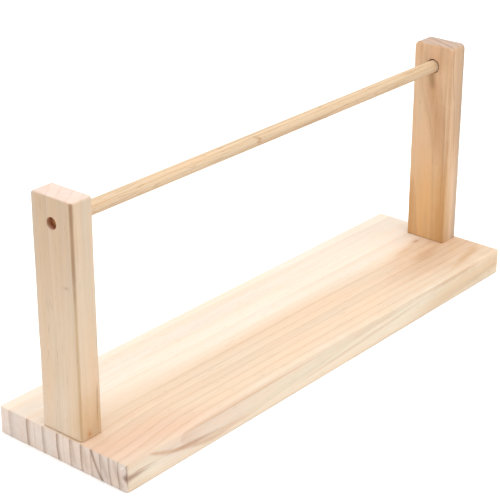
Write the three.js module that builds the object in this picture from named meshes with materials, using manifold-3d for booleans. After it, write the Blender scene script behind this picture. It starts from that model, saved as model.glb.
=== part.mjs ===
// A table-top rack for spools of ribbon: a pine board, two pine posts that stand at its
// ends and a loose wooden rod that the spools turn on.
//
// Millimetres. X runs along the board, Y towards the back and Z up. The origin is the
// middle of the board's underside. "Left" is the -X end and "right" the +X end.

import * as THREE from "three";
import { mergeVertices } from "three/addons/utils/BufferGeometryUtils.js";
import Module from "manifold-3d";

// Base board
const boardLength = 366;
const boardDepth = 100;
const boardThickness = 17;
const boardEdge = 0.8; // sanded radius along every long edge
const boardCornerSanding = 0.7; // how much rounder the four upright corners are

// Posts
const postThickness = 15.5; // along X
const postWidth = 30; // along Y
const postHeight = 140; // above the board
const postInset = 1.5; // from the end of the board to the outer face of the post
const postEdge = 1.4; // sanded radius along the faces
const leftPostTopRadius = 1.8; // its two top corners, which are barely sanded round
const rightPostTopRadius = 3.6; // the same corners of the right post, sanded rounder by hand

// Rod and the bores that it lies in
const rodDiameter = 8.4;
const rodBelowTop = 14.9; // from the top of a post down to the axis of its bore
const rodEndEase = 0.6; // rounding of the rod's two ends
const rodEndRecess = 1; // how far the rod's right end stays inside the right post
const boreClearance = 0.45; // radial room between the rod and its bore
const boreMouthEase = 0.35; // broken edge at each mouth of a bore
const stopWall = 3.4; // wood left behind the left post's bore, which stops the rod
const stopLip = 0.7; // how far that wall reaches in over the rod's end all round

// Wood screws that hold the posts, driven up from under the board
const screwLength = 40;
const screwDiameter = 4;
const screwHeadDiameter = 8;
const screwHeadRim = 0.4; // straight edge of the head before it tapers
const screwTipLength = 6;
const screwTipRadius = 0.25; // the blunt end of the point
const screwSpacing = 15; // between the two screws of a post
const screwSink = 1; // how deep the heads lie below the board's underside
const pilotExtraDepth = 1; // the hole in the post past the point of the screw

// Clearances
const seatGap = 0.3; // left between the rod and what it lies on or stops at
const screwGap = 0.3; // left round a screw in its holes

// Fineness of the round surfaces
const roundSteps = 48; // round a bore, the rod or a hole
const screwSteps = 24; // round a screw
const edgeSteps = 3; // across a sanded edge
const cornerSteps = 6; // round a rounded corner
const overcut = 1; // how far a cutting shape runs past the face that it cuts

// Worked out from the sizes above
const postX = boardLength / 2 - postInset - postThickness / 2;
const boreRadius = rodDiameter / 2 + boreClearance;
const stopHoleRadius = rodDiameter / 2 - stopLip;
const boreHeight = postHeight - rodBelowTop; // above the foot of the post
const rodDrop = boreClearance - seatGap; // the loose rod lies low in its bores
const rodStart = -postX - postThickness / 2 + stopWall + seatGap;
const rodEnd = postX + postThickness / 2 - rodEndRecess;
const screwReach = screwLength - (boardThickness - screwSink); // length in the post

// Materials
const pine = { roughness: 0.62, metalness: 0 };
const boardMaterial = new THREE.MeshStandardMaterial({ color: 0xf3dcc0, ...pine });
const postMaterial = new THREE.MeshStandardMaterial({ color: 0xdebf98, ...pine });
const rodMaterial = new THREE.MeshStandardMaterial({ color: 0xefd2ae, ...pine });
const screwMaterial = new THREE.MeshStandardMaterial({
  color: 0xb9b7b0,
  roughness: 0.35,
  metalness: 1,
});

const wasm = await Module();
wasm.setup();

// The closed solid of a geometry, with its shared corners merged and no empty triangles
function toSolid(geometry) {
  const bare = new THREE.BufferGeometry();
  bare.setAttribute("position", geometry.getAttribute("position"));
  if (geometry.index) {
    bare.setIndex(geometry.index);
  }
  const merged = mergeVertices(bare, 1e-4);
  const triangles = [];
  for (let i = 0; i < merged.index.count; i += 3) {
    const [a, b, c] = [0, 1, 2].map((k) => merged.index.getX(i + k));
    if (a !== b && b !== c && c !== a) {
      triangles.push(a, b, c);
    }
  }
  return new wasm.Manifold(
    new wasm.Mesh({
      numProp: 3,
      vertProperties: Float32Array.from(merged.getAttribute("position").array),
      triVerts: Uint32Array.from(triangles),
    }),
  );
}

function toGeometry(solid) {
  const mesh = solid.getMesh();
  const geometry = new THREE.BufferGeometry();
  geometry.setAttribute("position", new THREE.BufferAttribute(mesh.vertProperties, 3));
  geometry.setIndex(new THREE.BufferAttribute(mesh.triVerts, 1));
  return geometry;
}

// A turned solid: [distance along the axis, radius] pairs, swept round the +Y axis
function turned(profile, steps) {
  const points = profile.map(([along, radius]) => new THREE.Vector2(radius, along));
  return new THREE.LatheGeometry(points, steps);
}

const alongX = (geometry) => geometry.rotateZ(-Math.PI / 2);
const alongZ = (geometry) => geometry.rotateX(Math.PI / 2);

// A slab of the given outline, with every edge of its two faces rounded by one radius
function easedSlab(outline, thickness, ease) {
  const slab = new THREE.ExtrudeGeometry(outline, {
    depth: thickness - 2 * ease,
    bevelThickness: ease,
    bevelSize: ease,
    bevelOffset: -ease,
    bevelSegments: edgeSteps,
    curveSegments: cornerSteps,
  });
  return slab.translate(0, 0, ease);
}

// A rectangle whose corners have the radii given for its low and its high side
function roundedRectangle(width, low, high, lowRadius, highRadius) {
  const half = width / 2;
  const quarter = Math.PI / 2;
  const shape = new THREE.Shape();
  shape.absarc(half - lowRadius, low + lowRadius, lowRadius, -quarter, 0);
  shape.absarc(half - highRadius, high - highRadius, highRadius, 0, quarter);
  shape.absarc(highRadius - half, high - highRadius, highRadius, quarter, 2 * quarter);
  shape.absarc(lowRadius - half, low + lowRadius, lowRadius, 2 * quarter, 3 * quarter);
  return shape;
}

// The hole for a countersunk screw, from the board's underside up through the board
function screwHoleThroughBoard() {
  const shankRadius = screwDiameter / 2 + screwGap;
  const headRadius = screwHeadDiameter / 2 + screwGap;
  const coneShift = screwGap * (Math.SQRT2 - 1);
  const coneStart = screwSink + screwHeadRim + coneShift;
  const coneEnd = coneStart + headRadius - shankRadius;
  const profile = [
    [-overcut, 0],
    [-overcut, headRadius],
    [coneStart, headRadius],
    [coneEnd, shankRadius],
    [boardThickness + overcut, shankRadius],
    [boardThickness + overcut, 0],
  ];
  return alongZ(turned(profile, roundSteps));
}

// The hole for the screw in the end grain of a post, with the cone that a drill leaves
function screwHoleInPost() {
  const radius = screwDiameter / 2 + screwGap;
  const drillPoint = radius * Math.tan(THREE.MathUtils.degToRad(31));
  const depth = screwReach + pilotExtraDepth;
  const profile = [
    [-overcut, 0],
    [-overcut, radius],
    [depth, radius],
    [depth + drillPoint, 0],
  ];
  return alongZ(turned(profile, roundSteps));
}

// The left post's bore: a small hole in the outer face, then the full bore for the rod
function stoppedBore() {
  const outer = -postThickness / 2;
  const inner = postThickness / 2;
  const flare = boreMouthEase + overcut;
  const profile = [
    [outer - overcut, 0],
    [outer - overcut, stopHoleRadius + flare],
    [outer + boreMouthEase, stopHoleRadius],
    [outer + stopWall, stopHoleRadius],
    [outer + stopWall, boreRadius],
    [inner - boreMouthEase, boreRadius],
    [inner + overcut, boreRadius + flare],
    [inner + overcut, 0],
  ];
  return alongX(turned(profile, roundSteps));
}

// The right post's bore, which the rod is drawn out through
function openBore() {
  const face = postThickness / 2;
  const flare = boreMouthEase + overcut;
  const profile = [
    [-face - overcut, 0],
    [-face - overcut, boreRadius + flare],
    [-face + boreMouthEase, boreRadius],
    [face - boreMouthEase, boreRadius],
    [face + overcut, boreRadius + flare],
    [face + overcut, 0],
  ];
  return alongX(turned(profile, roundSteps));
}

const screwOffsets = [
  ["front", -screwSpacing / 2],
  ["back", screwSpacing / 2],
];

// The board lies on its underside, with four countersunk holes for the screws
function baseBoard() {
  const cornerRadius = boardEdge + boardCornerSanding;
  const half = boardDepth / 2;
  const outline = roundedRectangle(boardLength, -half, half, cornerRadius, cornerRadius);
  let solid = toSolid(easedSlab(outline, boardThickness, boardEdge));
  for (const x of [-postX, postX]) {
    for (const [, y] of screwOffsets) {
      solid = solid.subtract(toSolid(screwHoleThroughBoard().translate(x, y, 0)));
    }
  }
  return toGeometry(solid);
}

// A post stands on its square-cut foot; its own origin is the middle of that foot
function post(bore, topRadius) {
  const footCorner = postEdge + overcut; // lies in the length that the foot cut takes off
  const belowFoot = footCorner + postEdge;
  const outline = roundedRectangle(postWidth, -belowFoot, postHeight, footCorner, topRadius);
  const blank = easedSlab(outline, postThickness, postEdge);
  blank.translate(0, 0, -postThickness / 2);
  blank.rotateX(Math.PI / 2).rotateZ(Math.PI / 2);
  const footCut = new THREE.BoxGeometry(2 * postThickness, 2 * postWidth, 2 * belowFoot);
  footCut.translate(0, 0, -belowFoot);
  let solid = toSolid(blank).subtract(toSolid(footCut));
  solid = solid.subtract(toSolid(bore.translate(0, 0, boreHeight)));
  for (const [, y] of screwOffsets) {
    solid = solid.subtract(toSolid(screwHoleInPost().translate(0, y, 0)));
  }
  return toGeometry(solid);
}

// The rod, turned about its own axis from its left end, with both ends rounded over
function rod() {
  const length = rodEnd - rodStart;
  const radius = rodDiameter / 2;
  const profile = [[0, 0]];
  for (let i = 0; i <= edgeSteps; i += 1) {
    const angle = (i / edgeSteps) * (Math.PI / 2);
    profile.push([
      rodEndEase * (1 - Math.cos(angle)),
      radius - rodEndEase * (1 - Math.sin(angle)),
    ]);
  }
  const rightEnd = profile.map(([along, r]) => [length - along, r]).reverse();
  return alongX(turned([...profile, ...rightEnd], roundSteps));
}

// A countersunk wood screw, point up, from the flat of its head; its thread is left off
function woodScrew() {
  const shankRadius = screwDiameter / 2;
  const headRadius = screwHeadDiameter / 2;
  const profile = [
    [0, 0],
    [0, headRadius],
    [screwHeadRim, headRadius],
    [screwHeadRim + headRadius - shankRadius, shankRadius],
    [screwLength - screwTipLength, shankRadius],
    [screwLength, screwTipRadius],
    [screwLength, 0],
  ];
  return alongZ(turned(profile, screwSteps));
}

function piece(name, geometry, material, position) {
  const mesh = new THREE.Mesh(geometry, material);
  mesh.name = name;
  mesh.position.set(...position);
  return mesh;
}

const rack = new THREE.Group();
rack.name = "ribbon_rack";
rack.add(piece("base_board", baseBoard(), boardMaterial, [0, 0, 0]));

const sides = [
  ["left", -postX, stoppedBore(), leftPostTopRadius],
  ["right", postX, openBore(), rightPostTopRadius],
];
for (const [side, x, bore, topRadius] of sides) {
  const upright = post(bore, topRadius);
  rack.add(piece(`${side}_post`, upright, postMaterial, [x, 0, boardThickness]));
  for (const [row, y] of screwOffsets) {
    rack.add(piece(`${side}_${row}_screw`, woodScrew(), screwMaterial, [x, y, screwSink]));
  }
}

const rodHeight = boardThickness + boreHeight - rodDrop;
rack.add(piece("rod", rod(), rodMaterial, [rodStart, 0, rodHeight]));

export default rack;
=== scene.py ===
"""Dresses the ribbon storage rack: a pine board, two drilled posts, a loose dowel and four wood screws.

Every piece is written in metres in the part's own frame: X along the board, Y towards the back and Z up.
Sizes in the dataclasses are in millimetres, as a maker would note them, and so are all lengths in the wooden
finishes.
"""

import logging
import math
from dataclasses import dataclass, replace
from enum import Enum
from typing import Any, Callable, Iterable, Optional, Sequence, Union

import bmesh
import bpy
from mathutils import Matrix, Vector, noise


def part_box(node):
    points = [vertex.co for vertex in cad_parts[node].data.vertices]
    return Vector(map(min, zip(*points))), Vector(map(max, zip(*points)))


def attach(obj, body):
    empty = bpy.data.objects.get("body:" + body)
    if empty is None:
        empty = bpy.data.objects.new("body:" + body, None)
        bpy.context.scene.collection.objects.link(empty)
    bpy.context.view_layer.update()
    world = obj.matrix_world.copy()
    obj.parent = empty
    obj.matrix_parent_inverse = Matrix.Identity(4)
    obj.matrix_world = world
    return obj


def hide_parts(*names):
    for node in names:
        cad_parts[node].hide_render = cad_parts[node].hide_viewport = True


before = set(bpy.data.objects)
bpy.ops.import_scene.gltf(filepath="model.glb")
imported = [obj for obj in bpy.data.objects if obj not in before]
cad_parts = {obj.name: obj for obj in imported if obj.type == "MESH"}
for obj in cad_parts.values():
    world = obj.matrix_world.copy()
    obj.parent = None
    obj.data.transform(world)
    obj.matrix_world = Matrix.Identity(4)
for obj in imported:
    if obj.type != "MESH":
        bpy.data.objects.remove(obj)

MM = 0.001
QUARTER = math.pi / 2
TURN = 4 * QUARTER
LOG = logging.getLogger("ribbon_rack")

SCREW_NODES = ("left_front_screw", "left_back_screw", "right_front_screw", "right_back_screw")

# The middle of a noise's range, and how rough its finer layers are.
NOISE_MIDDLE = 0.5
NOISE_ROUGHNESS = 0.6

# A corner that is sharper than this stays a crease.
WOOD_CREASE = math.radians(38)
STEEL_CREASE = math.radians(35)

# A face is end grain once its normal leans this far along the fibres, and wholly so after this much more.
END_GRAIN_START = 0.4
END_GRAIN_REACH = 0.5

Pair = tuple[float, float]
Triple = tuple[float, float, float]
Rgb = tuple[int, int, int]
Colour = tuple[float, float, float, float]
Socket = bpy.types.NodeSocket
Tree = bpy.types.NodeTree
Plug = Union[Socket, bpy.types.Material, float, Sequence[float]]

# The mask, the colour and the depth of a mark, and the way in which it is mixed with the wood.
Layer = tuple[Plug, Colour, float, str]

# A row of points of a mesh, in order.
Loop = list[bmesh.types.BMVert]


def srgb(red: int, green: int, blue: int) -> Colour:
    """Turns a colour given as three numbers from 0 to 255 into the linear colour that a shader takes.

    Args:
        red: The red share as a display shows it.
        green: The green share.
        blue: The blue share.

    Returns:
        The linear colour with full alpha.
    """
    shares = [value / 255 for value in (red, green, blue)]
    linear = [s / 12.92 if s <= 0.04045 else ((s + 0.055) / 1.055) ** 2.4 for s in shares]
    return (linear[0], linear[1], linear[2], 1.0)


def screw_places() -> list[Pair]:
    """Returns X and Y of each screw's axis, in millimetres."""
    middles = [(low + high) / 2 / MM for low, high in map(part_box, SCREW_NODES)]
    return [(middle.x, middle.y) for middle in middles]


def directions(count: int) -> list[Pair]:
    """Returns the cosine and the sine of evenly spaced directions, once round."""
    return [(math.cos(i / count * TURN), math.sin(i / count * TURN)) for i in range(count)]


def show(name: str, data: bpy.types.ID) -> bpy.types.Object:
    """Puts a mesh, a lamp or a camera in the scene.

    Args:
        name: The name of the new object.
        data: What it holds.

    Returns:
        The object.
    """
    thing = bpy.data.objects.new(name, data)
    bpy.context.scene.collection.objects.link(thing)
    return thing


class Grain(Enum):
    """Which way the fibres of a piece run, as the turn that lays them along X."""

    LENGTHWISE = (0.0, 0.0, 0.0)
    UPRIGHT = (0.0, QUARTER, 0.0)

    @property
    def axis(self) -> Vector:
        """Returns the direction of the fibres in the part's frame."""
        return Vector((1, 0, 0)) if self is Grain.LENGTHWISE else Vector((0, 0, 1))


class Side(Enum):
    """The end of the board that a post stands on."""

    LEFT = "left"
    RIGHT = "right"


class Sheet:
    """A node tree that is being written: adds nodes, sets their sockets and joins them."""

    def __init__(self, tree: Tree) -> None:
        """Starts on the given tree."""
        self.tree = tree

    def add(self, kind: str, **settings: Any) -> bpy.types.Node:
        """Adds a node.

        Args:
            kind: Blender's name for the type of node.
            **settings: Properties of the node to set.

        Returns:
            The new node.
        """
        node = self.tree.nodes.new(kind)
        for name, value in settings.items():
            setattr(node, name, value)
        return node

    def feed(self, socket: Socket, value: Plug) -> None:
        """Joins an input to another node's output, or sets it to a constant.

        Args:
            socket: The input.
            value: An output socket or a constant.
        """
        if isinstance(value, Socket):
            self.tree.links.new(value, socket)
        else:
            socket.default_value = value

    def run(self, kind: str, values: dict[Union[str, int], Plug], **settings: Any) -> bpy.types.Node:
        """Adds a node and feeds some of its inputs.

        Args:
            kind: Blender's name for the type of node.
            values: Input name or place, and what it takes.
            **settings: Properties of the node to set.

        Returns:
            The new node.
        """
        node = self.add(kind, **settings)
        for key, value in values.items():
            self.feed(node.inputs[key], value)
        return node

    def get(self, kind: str, values: dict[Union[str, int], Plug], **settings: Any) -> Socket:
        """Adds a node and feeds it as run does, and returns its first output."""
        return self.run(kind, values, **settings).outputs[0]

    def math(self, operation: str, *values: Plug, clamp: bool = False) -> Socket:
        """Works out one number.

        Args:
            operation: Blender's name for the sum.
            *values: One to three numbers or sockets.
            clamp: Whether the result stays between 0 and 1.

        Returns:
            The socket with the result.
        """
        result = self.get("ShaderNodeMath", dict(enumerate(values)), operation=operation)
        return self.math("MINIMUM", self.math("MAXIMUM", result, 0.0), 1.0) if clamp else result

    def vector(self, operation: str, *values: Plug) -> Socket:
        """Works out one vector, or the length of one.

        Args:
            operation: Blender's name for the sum.
            *values: One to three vectors or sockets.

        Returns:
            The socket with the result.
        """
        node = self.run("ShaderNodeVectorMath", dict(enumerate(values)), operation=operation)
        return node.outputs["Value" if operation in {"LENGTH", "DOT_PRODUCT"} else "Vector"]

    def scale(self, vector: Plug, factor: Plug) -> Socket:
        """Returns the vector made longer or shorter by one number."""
        feeds = {0: vector, "Scale": factor}
        return self.run("ShaderNodeVectorMath", feeds, operation="SCALE").outputs["Vector"]

    def ramp(
        self, value: Plug, start: Plug, end: Plug, low: Plug = 0.0, high: Plug = 1.0
    ) -> Socket:
        """Eases a number from one level to another.

        Args:
            value: The number that is read.
            start: Where the change begins.
            end: Where it ends.
            low: The result before the change.
            high: The result after it.

        Returns:
            The socket with the eased number.
        """
        feeds = dict(enumerate((value, start, end, low, high)))
        return self.get("ShaderNodeMapRange", feeds, interpolation_type="SMOOTHSTEP", clamp=False)

    def mix(self, share: Plug, first: Plug, second: Plug, blend: str = "MIX") -> Socket:
        """Mixes two colours.

        Args:
            share: How much of the second colour there is, from 0 to 1.
            first: The first colour.
            second: The second colour.
            blend: Blender's name for the way of mixing.

        Returns:
            The socket with the mixed colour.
        """
        feeds = {0: share, 6: first, 7: second}
        node = self.run("ShaderNodeMix", feeds, data_type="RGBA", blend_type=blend)
        return node.outputs[2]

    def shade(self, colour: Plug, level: Plug) -> Socket:
        """Returns the colour multiplied by one number or by another colour."""
        return self.mix(1.0, colour, level, "MULTIPLY")

    def add_up(self, base: float, masks: Any, shares: dict[str, float]) -> Plug:
        """Adds masks to a number, each times its own share.

        Args:
            base: The number that is started from.
            masks: The sockets that bring the masks, by name.
            shares: Name and share of each mask that counts.

        Returns:
            The socket with the sum.
        """
        total = base
        for name, share in shares.items():
            total = self.math("MULTIPLY_ADD", masks[name], share, total)
        return total

    def grain_noise(self, point: Plug, cell: Triple, detail: float, seed: Plug) -> bpy.types.Node:
        """Adds a noise whose cells are stretched.

        Args:
            point: Where it is read, in millimetres.
            cell: The size of a cell along each axis, in millimetres.
            detail: How many finer layers it has.
            seed: A number that sets this noise apart from others.

        Returns:
            The noise node: output 0 is a number and output 1 a vector, both about 0.5.
        """
        scaled = self.vector("DIVIDE", point, cell)
        feeds = {"Vector": scaled, "W": seed, "Scale": 1.0, "Detail": detail, "Roughness": NOISE_ROUGHNESS}
        return self.run("ShaderNodeTexNoise", feeds, noise_dimensions="4D")

    def uneven(self, point: Plug, cell: Triple, detail: float, seed: Plug) -> Socket:
        """Returns a number that wavers about zero, from the noise that grain_noise adds."""
        return self.math("SUBTRACT", self.grain_noise(point, cell, detail, seed).outputs[0], NOISE_MIDDLE)

    def drift(self, point: Plug, cell: Triple, detail: float, seed: Plug) -> Socket:
        """Returns a vector that wavers about zero, from the noise that grain_noise adds."""
        raw = self.grain_noise(point, cell, detail, seed).outputs[1]
        return self.vector("SUBTRACT", raw, (NOISE_MIDDLE,) * 3)

    def place(self, tree: Tree, values: dict[str, Plug]) -> Any:
        """Places a shader node group.

        Args:
            tree: The group.
            values: Input name and what it takes.

        Returns:
            The outputs of the placed group, by name.
        """
        return self.run("ShaderNodeGroup", values, node_tree=tree).outputs

    def deliver(self, solid: Plug, material: Plug, result: Socket) -> None:
        """Ends a Geometry Nodes tree: realizes what it made and gives it a material.

        Args:
            solid: What the tree made.
            material: The material.
            result: The socket that takes it all.
        """
        solid = self.get("GeometryNodeRealizeInstances", {"Geometry": solid})
        solid = self.get("GeometryNodeSetMaterial", {"Geometry": solid, "Material": material})
        self.feed(result, solid)

    def surface(self, values: dict[str, Plug], height: Plug, relief: float) -> None:
        """Ends a material: adds its relief, its shader and its output.

        Args:
            values: Name of an input of the shader and what it takes.
            height: The height of the surface, in millimetres.
            relief: How strongly the height shows.
        """
        bump = self.get("ShaderNodeBump", {"Strength": relief, "Distance": MM, "Height": height})
        shader = self.get("ShaderNodeBsdfPrincipled", values | {"Normal": bump})
        self.feed(self.add("ShaderNodeOutputMaterial").inputs["Surface"], shader)


def new_tree(kind: str, name: str, takes: dict[str, str], gives: dict[str, str]) -> tuple[Sheet, Any, Any]:
    """Starts a node group with named inputs and outputs.

    Args:
        kind: Blender's name for the type of tree.
        name: The name of the group.
        takes: Name and socket type of each input.
        gives: Name and socket type of each output.

    Returns:
        The sheet to write on, the sockets that bring the inputs, and the sockets that take the outputs.
    """
    tree = bpy.data.node_groups.new(name, kind)
    for way, sockets in (("INPUT", takes), ("OUTPUT", gives)):
        for label, form in sockets.items():
            tree.interface.new_socket(name=label, in_out=way, socket_type="NodeSocket" + form)
    sheet = Sheet(tree)
    return sheet, sheet.add("NodeGroupInput").outputs, sheet.add("NodeGroupOutput").inputs


def new_material(name: str) -> tuple[bpy.types.Material, Sheet, Socket]:
    """Starts a material without nodes.

    Args:
        name: Its name.

    Returns:
        The material, the sheet to write on, and the point of the surface in millimetres.
    """
    material = bpy.data.materials.new(name)
    material.use_nodes = True
    material.node_tree.nodes.clear()
    sheet = Sheet(material.node_tree)
    place = sheet.add("ShaderNodeTexCoord").outputs["Object"]
    return material, sheet, sheet.vector("DIVIDE", place, (MM, MM, MM))


class WoodEffects:
    """The shader node groups that every wooden finish shares. All lengths in them are millimetres."""

    # Cell, share and seed of each way in which the rings wander.
    WANDERS = (((190, 46, 46), 2.0, 1.0), ((64, 13, 13), 0.7, 4.0), ((30, 8, 8), 0.3, 2.0))

    # Late wood rises along a curve up to this part of a ring's width, and drops from there to its end.
    LATE_FULL, LATE_DROP, LATE_CURVE = 0.97, 0.965, 1.6
    # A ring is at least this dark, and up to so much darker.
    RING_LEAST, RING_VARIETY = 0.6, 0.45
    # Where a false ring lies in its ring, its width, how dark it is, and which rings have one.
    FALSE_PLACE, FALSE_WIDTH, FALSE_LEVEL, FALSE_ABOVE = 0.46, 0.07, 0.5, 0.72

    # Cell and detail of what runs along the grain, and the part of its noise that shows.
    FIBRE_CELLS = {
        "Streak": ((120, 3.2, 3.2), 3.0),
        "Hue": ((75, 11, 11), 2.0),
        "Line": ((85, 1.9, 1.9), 1.0),
        "Fibre": ((14, 0.45, 0.45), 2.0),
        "Fleck": ((7, 0.6, 0.6), 1.0),
    }
    STREAK_SPAN, HUE_SPAN, LINED_HUES = (0.3, 0.7), (0.32, 0.68), (0.35, 0.6)
    LINE_WIDTH, FLECK_WIDTH = 0.05, 0.1

    # How far a knot's core, its halo and its push on the rings reach, in its own radii.
    KNOT_CORE, KNOT_HALO, KNOT_PUSH = (0.5, 1.1), (0.8, 3.0), (0.0, 6.0)

    # The share of a streak's width that its faded ends keep.
    STREAK_END = 0.6

    # The length over which a knot's outline and a streak's width vary.
    KNOT_CELL, STREAK_CELL = (1.6, 1.6, 1.6), (15, 15, 15)

    LINE_TINT = (0.84, 0.74, 0.65, 1.0)
    FLECK_TINT = (0.62, 0.52, 0.42, 1.0)
    WARM_TINT = (1.03, 0.985, 0.95, 1.0)
    COOL_TINT = (0.985, 1.01, 1.03, 1.0)
    ARRIS_TINT = (0.93, 0.9, 0.87, 1.0)
    # The tint of the painted shade inside the bores.
    BORE_SHADE_TINT = (0.68, 0.27, 0.1, 1.0)
    ARRIS_WEAR = 0.3
    END_RING_CURVE = 1.8

    # The level that the colour is multiplied by, the gloss and the height, and what each mask adds to them.
    LEVEL, LEVEL_STREAK, LEVEL_SHARES = 0.97, 0.06, {"Fibre": 0.11, "Ring Tone": 0.06}
    ROUGHNESS, ROUGHNESS_SHARES = 0.56, {"Fibre": 0.16, "Late": -0.09, "End Grain": 0.12}
    HEIGHT_SHARES = {"Fibre": 0.05, "Late": 0.035, "Fleck": -0.03, "Streak": 0.02}

    def __init__(self) -> None:
        """Builds each group once."""
        self.space = self.grain_space()
        self.rings = self.growth_rings()
        self.fibres = self.pine_fibres()
        self.knot = self.small_knot()
        self.streak = self.streak_mask()
        self.tone = self.pine_tone()

    def grain_space(self) -> Tree:
        """Builds the group that gives the distance from the middle of the tree.

        Returns:
            The group.
        """
        takes = {"Point": "Vector", "Pith": "Vector", "Lean": "Vector", "Wander": "Float"}
        sheet, given, result = new_tree("ShaderNodeTree", "grain_space", takes, {"Radius": "Float"})
        along = sheet.get("ShaderNodeSeparateXYZ", {0: given["Point"]})
        centre = sheet.vector("ADD", sheet.scale(given["Lean"], along), given["Pith"])
        offset = sheet.vector("SUBTRACT", given["Point"], centre)
        for cell, share, seed in self.WANDERS:
            drift = sheet.drift(given["Point"], cell, detail=1.0, seed=seed)
            amount = sheet.math("MULTIPLY", given["Wander"], share)
            offset = sheet.vector("ADD", sheet.scale(drift, amount), offset)
        across = sheet.vector("MULTIPLY", offset, (0, 1, 1))
        sheet.feed(result["Radius"], sheet.vector("LENGTH", across))
        return sheet.tree

    def growth_rings(self) -> Tree:
        """Builds the group that turns a radius into rings, which end sharply in dark late wood.

        Returns:
            The group.
        """
        takes = {name: "Float" for name in ("Radius", "Spacing", "Even To", "Growth", "Phase", "Late Share")}
        gives = {"Late": "Float", "Tone": "Float"}
        sheet, given, result = new_tree("ShaderNodeTree", "growth_rings", takes, gives)
        even = sheet.math("MINIMUM", given["Radius"], given["Even To"])
        even = sheet.math("DIVIDE", even, given["Spacing"])
        beyond = sheet.math("MAXIMUM", sheet.math("SUBTRACT", given["Radius"], given["Even To"]), 0.0)
        widening = sheet.math("DIVIDE", given["Growth"], given["Spacing"])
        spread = sheet.math("LOGARITHM", sheet.math("MULTIPLY_ADD", beyond, widening, 1.0), math.e)
        count = sheet.math("ADD", even, sheet.math("DIVIDE", spread, given["Growth"]))
        count = sheet.math("ADD", count, given["Phase"])
        within = sheet.math("FRACT", count)
        ring = sheet.math("FLOOR", count)
        tone = sheet.get("ShaderNodeTexWhiteNoise", {"W": ring}, noise_dimensions="1D")
        start = sheet.math("SUBTRACT", 1.0, given["Late Share"])
        rise = sheet.math("POWER", sheet.ramp(within, start, self.LATE_FULL), self.LATE_CURVE)
        late = sheet.math("MULTIPLY", rise, sheet.ramp(within, self.LATE_DROP, 1.0, 1.0, 0.0))
        strength = sheet.math("MULTIPLY_ADD", tone, self.RING_VARIETY, self.RING_LEAST)
        near_false = sheet.math("ABSOLUTE", sheet.math("SUBTRACT", within, self.FALSE_PLACE))
        false_ring = sheet.ramp(near_false, 0.0, self.FALSE_WIDTH, self.FALSE_LEVEL, 0.0)
        false_ring = sheet.math("MULTIPLY", false_ring, sheet.math("GREATER_THAN", tone, self.FALSE_ABOVE))
        both = sheet.math("MAXIMUM", sheet.math("MULTIPLY", late, strength), false_ring)
        sheet.feed(result["Late"], both)
        sheet.feed(result["Tone"], tone)
        return sheet.tree

    def pine_fibres(self) -> Tree:
        """Builds the group for what runs along the grain: streaks, hue, fine lines, fibres and resin flecks.

        Returns:
            The group.
        """
        takes = {"Point": "Vector", "Seed": "Float", "Fleck Level": "Float"}
        gives = {name: "Float" for name in ("Streak", "Hue", "Line", "Fibre", "Fleck")}
        sheet, given, result = new_tree("ShaderNodeTree", "pine_fibres", takes, gives)
        raw = {}
        for name, (cell, detail) in self.FIBRE_CELLS.items():
            raw[name] = sheet.grain_noise(given["Point"], cell, detail, given["Seed"]).outputs[0]
        off_line = sheet.math("ABSOLUTE", sheet.math("SUBTRACT", raw["Line"], NOISE_MIDDLE))
        line = sheet.ramp(off_line, 0.0, self.LINE_WIDTH, 1.0, 0.0)
        line = sheet.math("MULTIPLY", line, sheet.ramp(raw["Hue"], *self.LINED_HUES))
        top = sheet.math("ADD", given["Fleck Level"], self.FLECK_WIDTH)
        sheet.feed(result["Streak"], sheet.ramp(raw["Streak"], *self.STREAK_SPAN))
        sheet.feed(result["Hue"], sheet.ramp(raw["Hue"], *self.HUE_SPAN))
        sheet.feed(result["Line"], line)
        sheet.feed(result["Fibre"], raw["Fibre"])
        sheet.feed(result["Fleck"], sheet.ramp(raw["Fleck"], given["Fleck Level"], top))
        return sheet.tree

    def small_knot(self) -> Tree:
        """Builds the group for a knot, with the dark core, the halo and how far it pushes the rings aside.

        Returns:
            The group.
        """
        takes = {"Point": "Vector", "Centre": "Vector", "Lie": "Vector", "Radius": "Float"}
        gives = {"Core": "Float", "Halo": "Float", "Push": "Float"}
        sheet, given, result = new_tree("ShaderNodeTree", "small_knot", takes, gives)
        wobble = sheet.drift(given["Point"], self.KNOT_CELL, detail=2.0, seed=5.0)
        offset = sheet.vector("SUBTRACT", given["Point"], given["Centre"])
        offset = sheet.vector("ADD", sheet.scale(wobble, given["Radius"]), offset)
        offset = sheet.vector("MULTIPLY", offset, given["Lie"])
        away = sheet.math("DIVIDE", sheet.vector("LENGTH", offset), given["Radius"])
        sheet.feed(result["Core"], sheet.ramp(away, *self.KNOT_CORE, 1.0, 0.0))
        sheet.feed(result["Halo"], sheet.ramp(away, *self.KNOT_HALO, 1.0, 0.0))
        push = sheet.ramp(away, *self.KNOT_PUSH, 1.0, 0.0)
        sheet.feed(result["Push"], sheet.math("MULTIPLY", push, given["Radius"]))
        return sheet.tree

    def streak_mask(self) -> Tree:
        """Builds the group for a streak, a stain, or a patch of painted shade or light between two points,
        bowed aside and faded at its ends.

        Returns:
            The group.
        """
        takes = {name: "Vector" for name in ("Point", "From", "To", "Bow")}
        floats = ("From Width", "To Width", "From Fade", "To Fade", "Uneven", "Wobble")
        takes |= {name: "Float" for name in floats}
        sheet, given, result = new_tree("ShaderNodeTree", "streak_mask", takes, {"Mask": "Float"})
        run = sheet.vector("SUBTRACT", given["To"], given["From"])
        offset = sheet.vector("SUBTRACT", given["Point"], given["From"])
        covered = sheet.vector("DOT_PRODUCT", offset, run)
        along = sheet.math("DIVIDE", covered, sheet.vector("DOT_PRODUCT", run, run))
        along = sheet.math("ADD", along, 0.0, clamp=True)
        left = sheet.math("SUBTRACT", 1.0, along)
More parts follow.
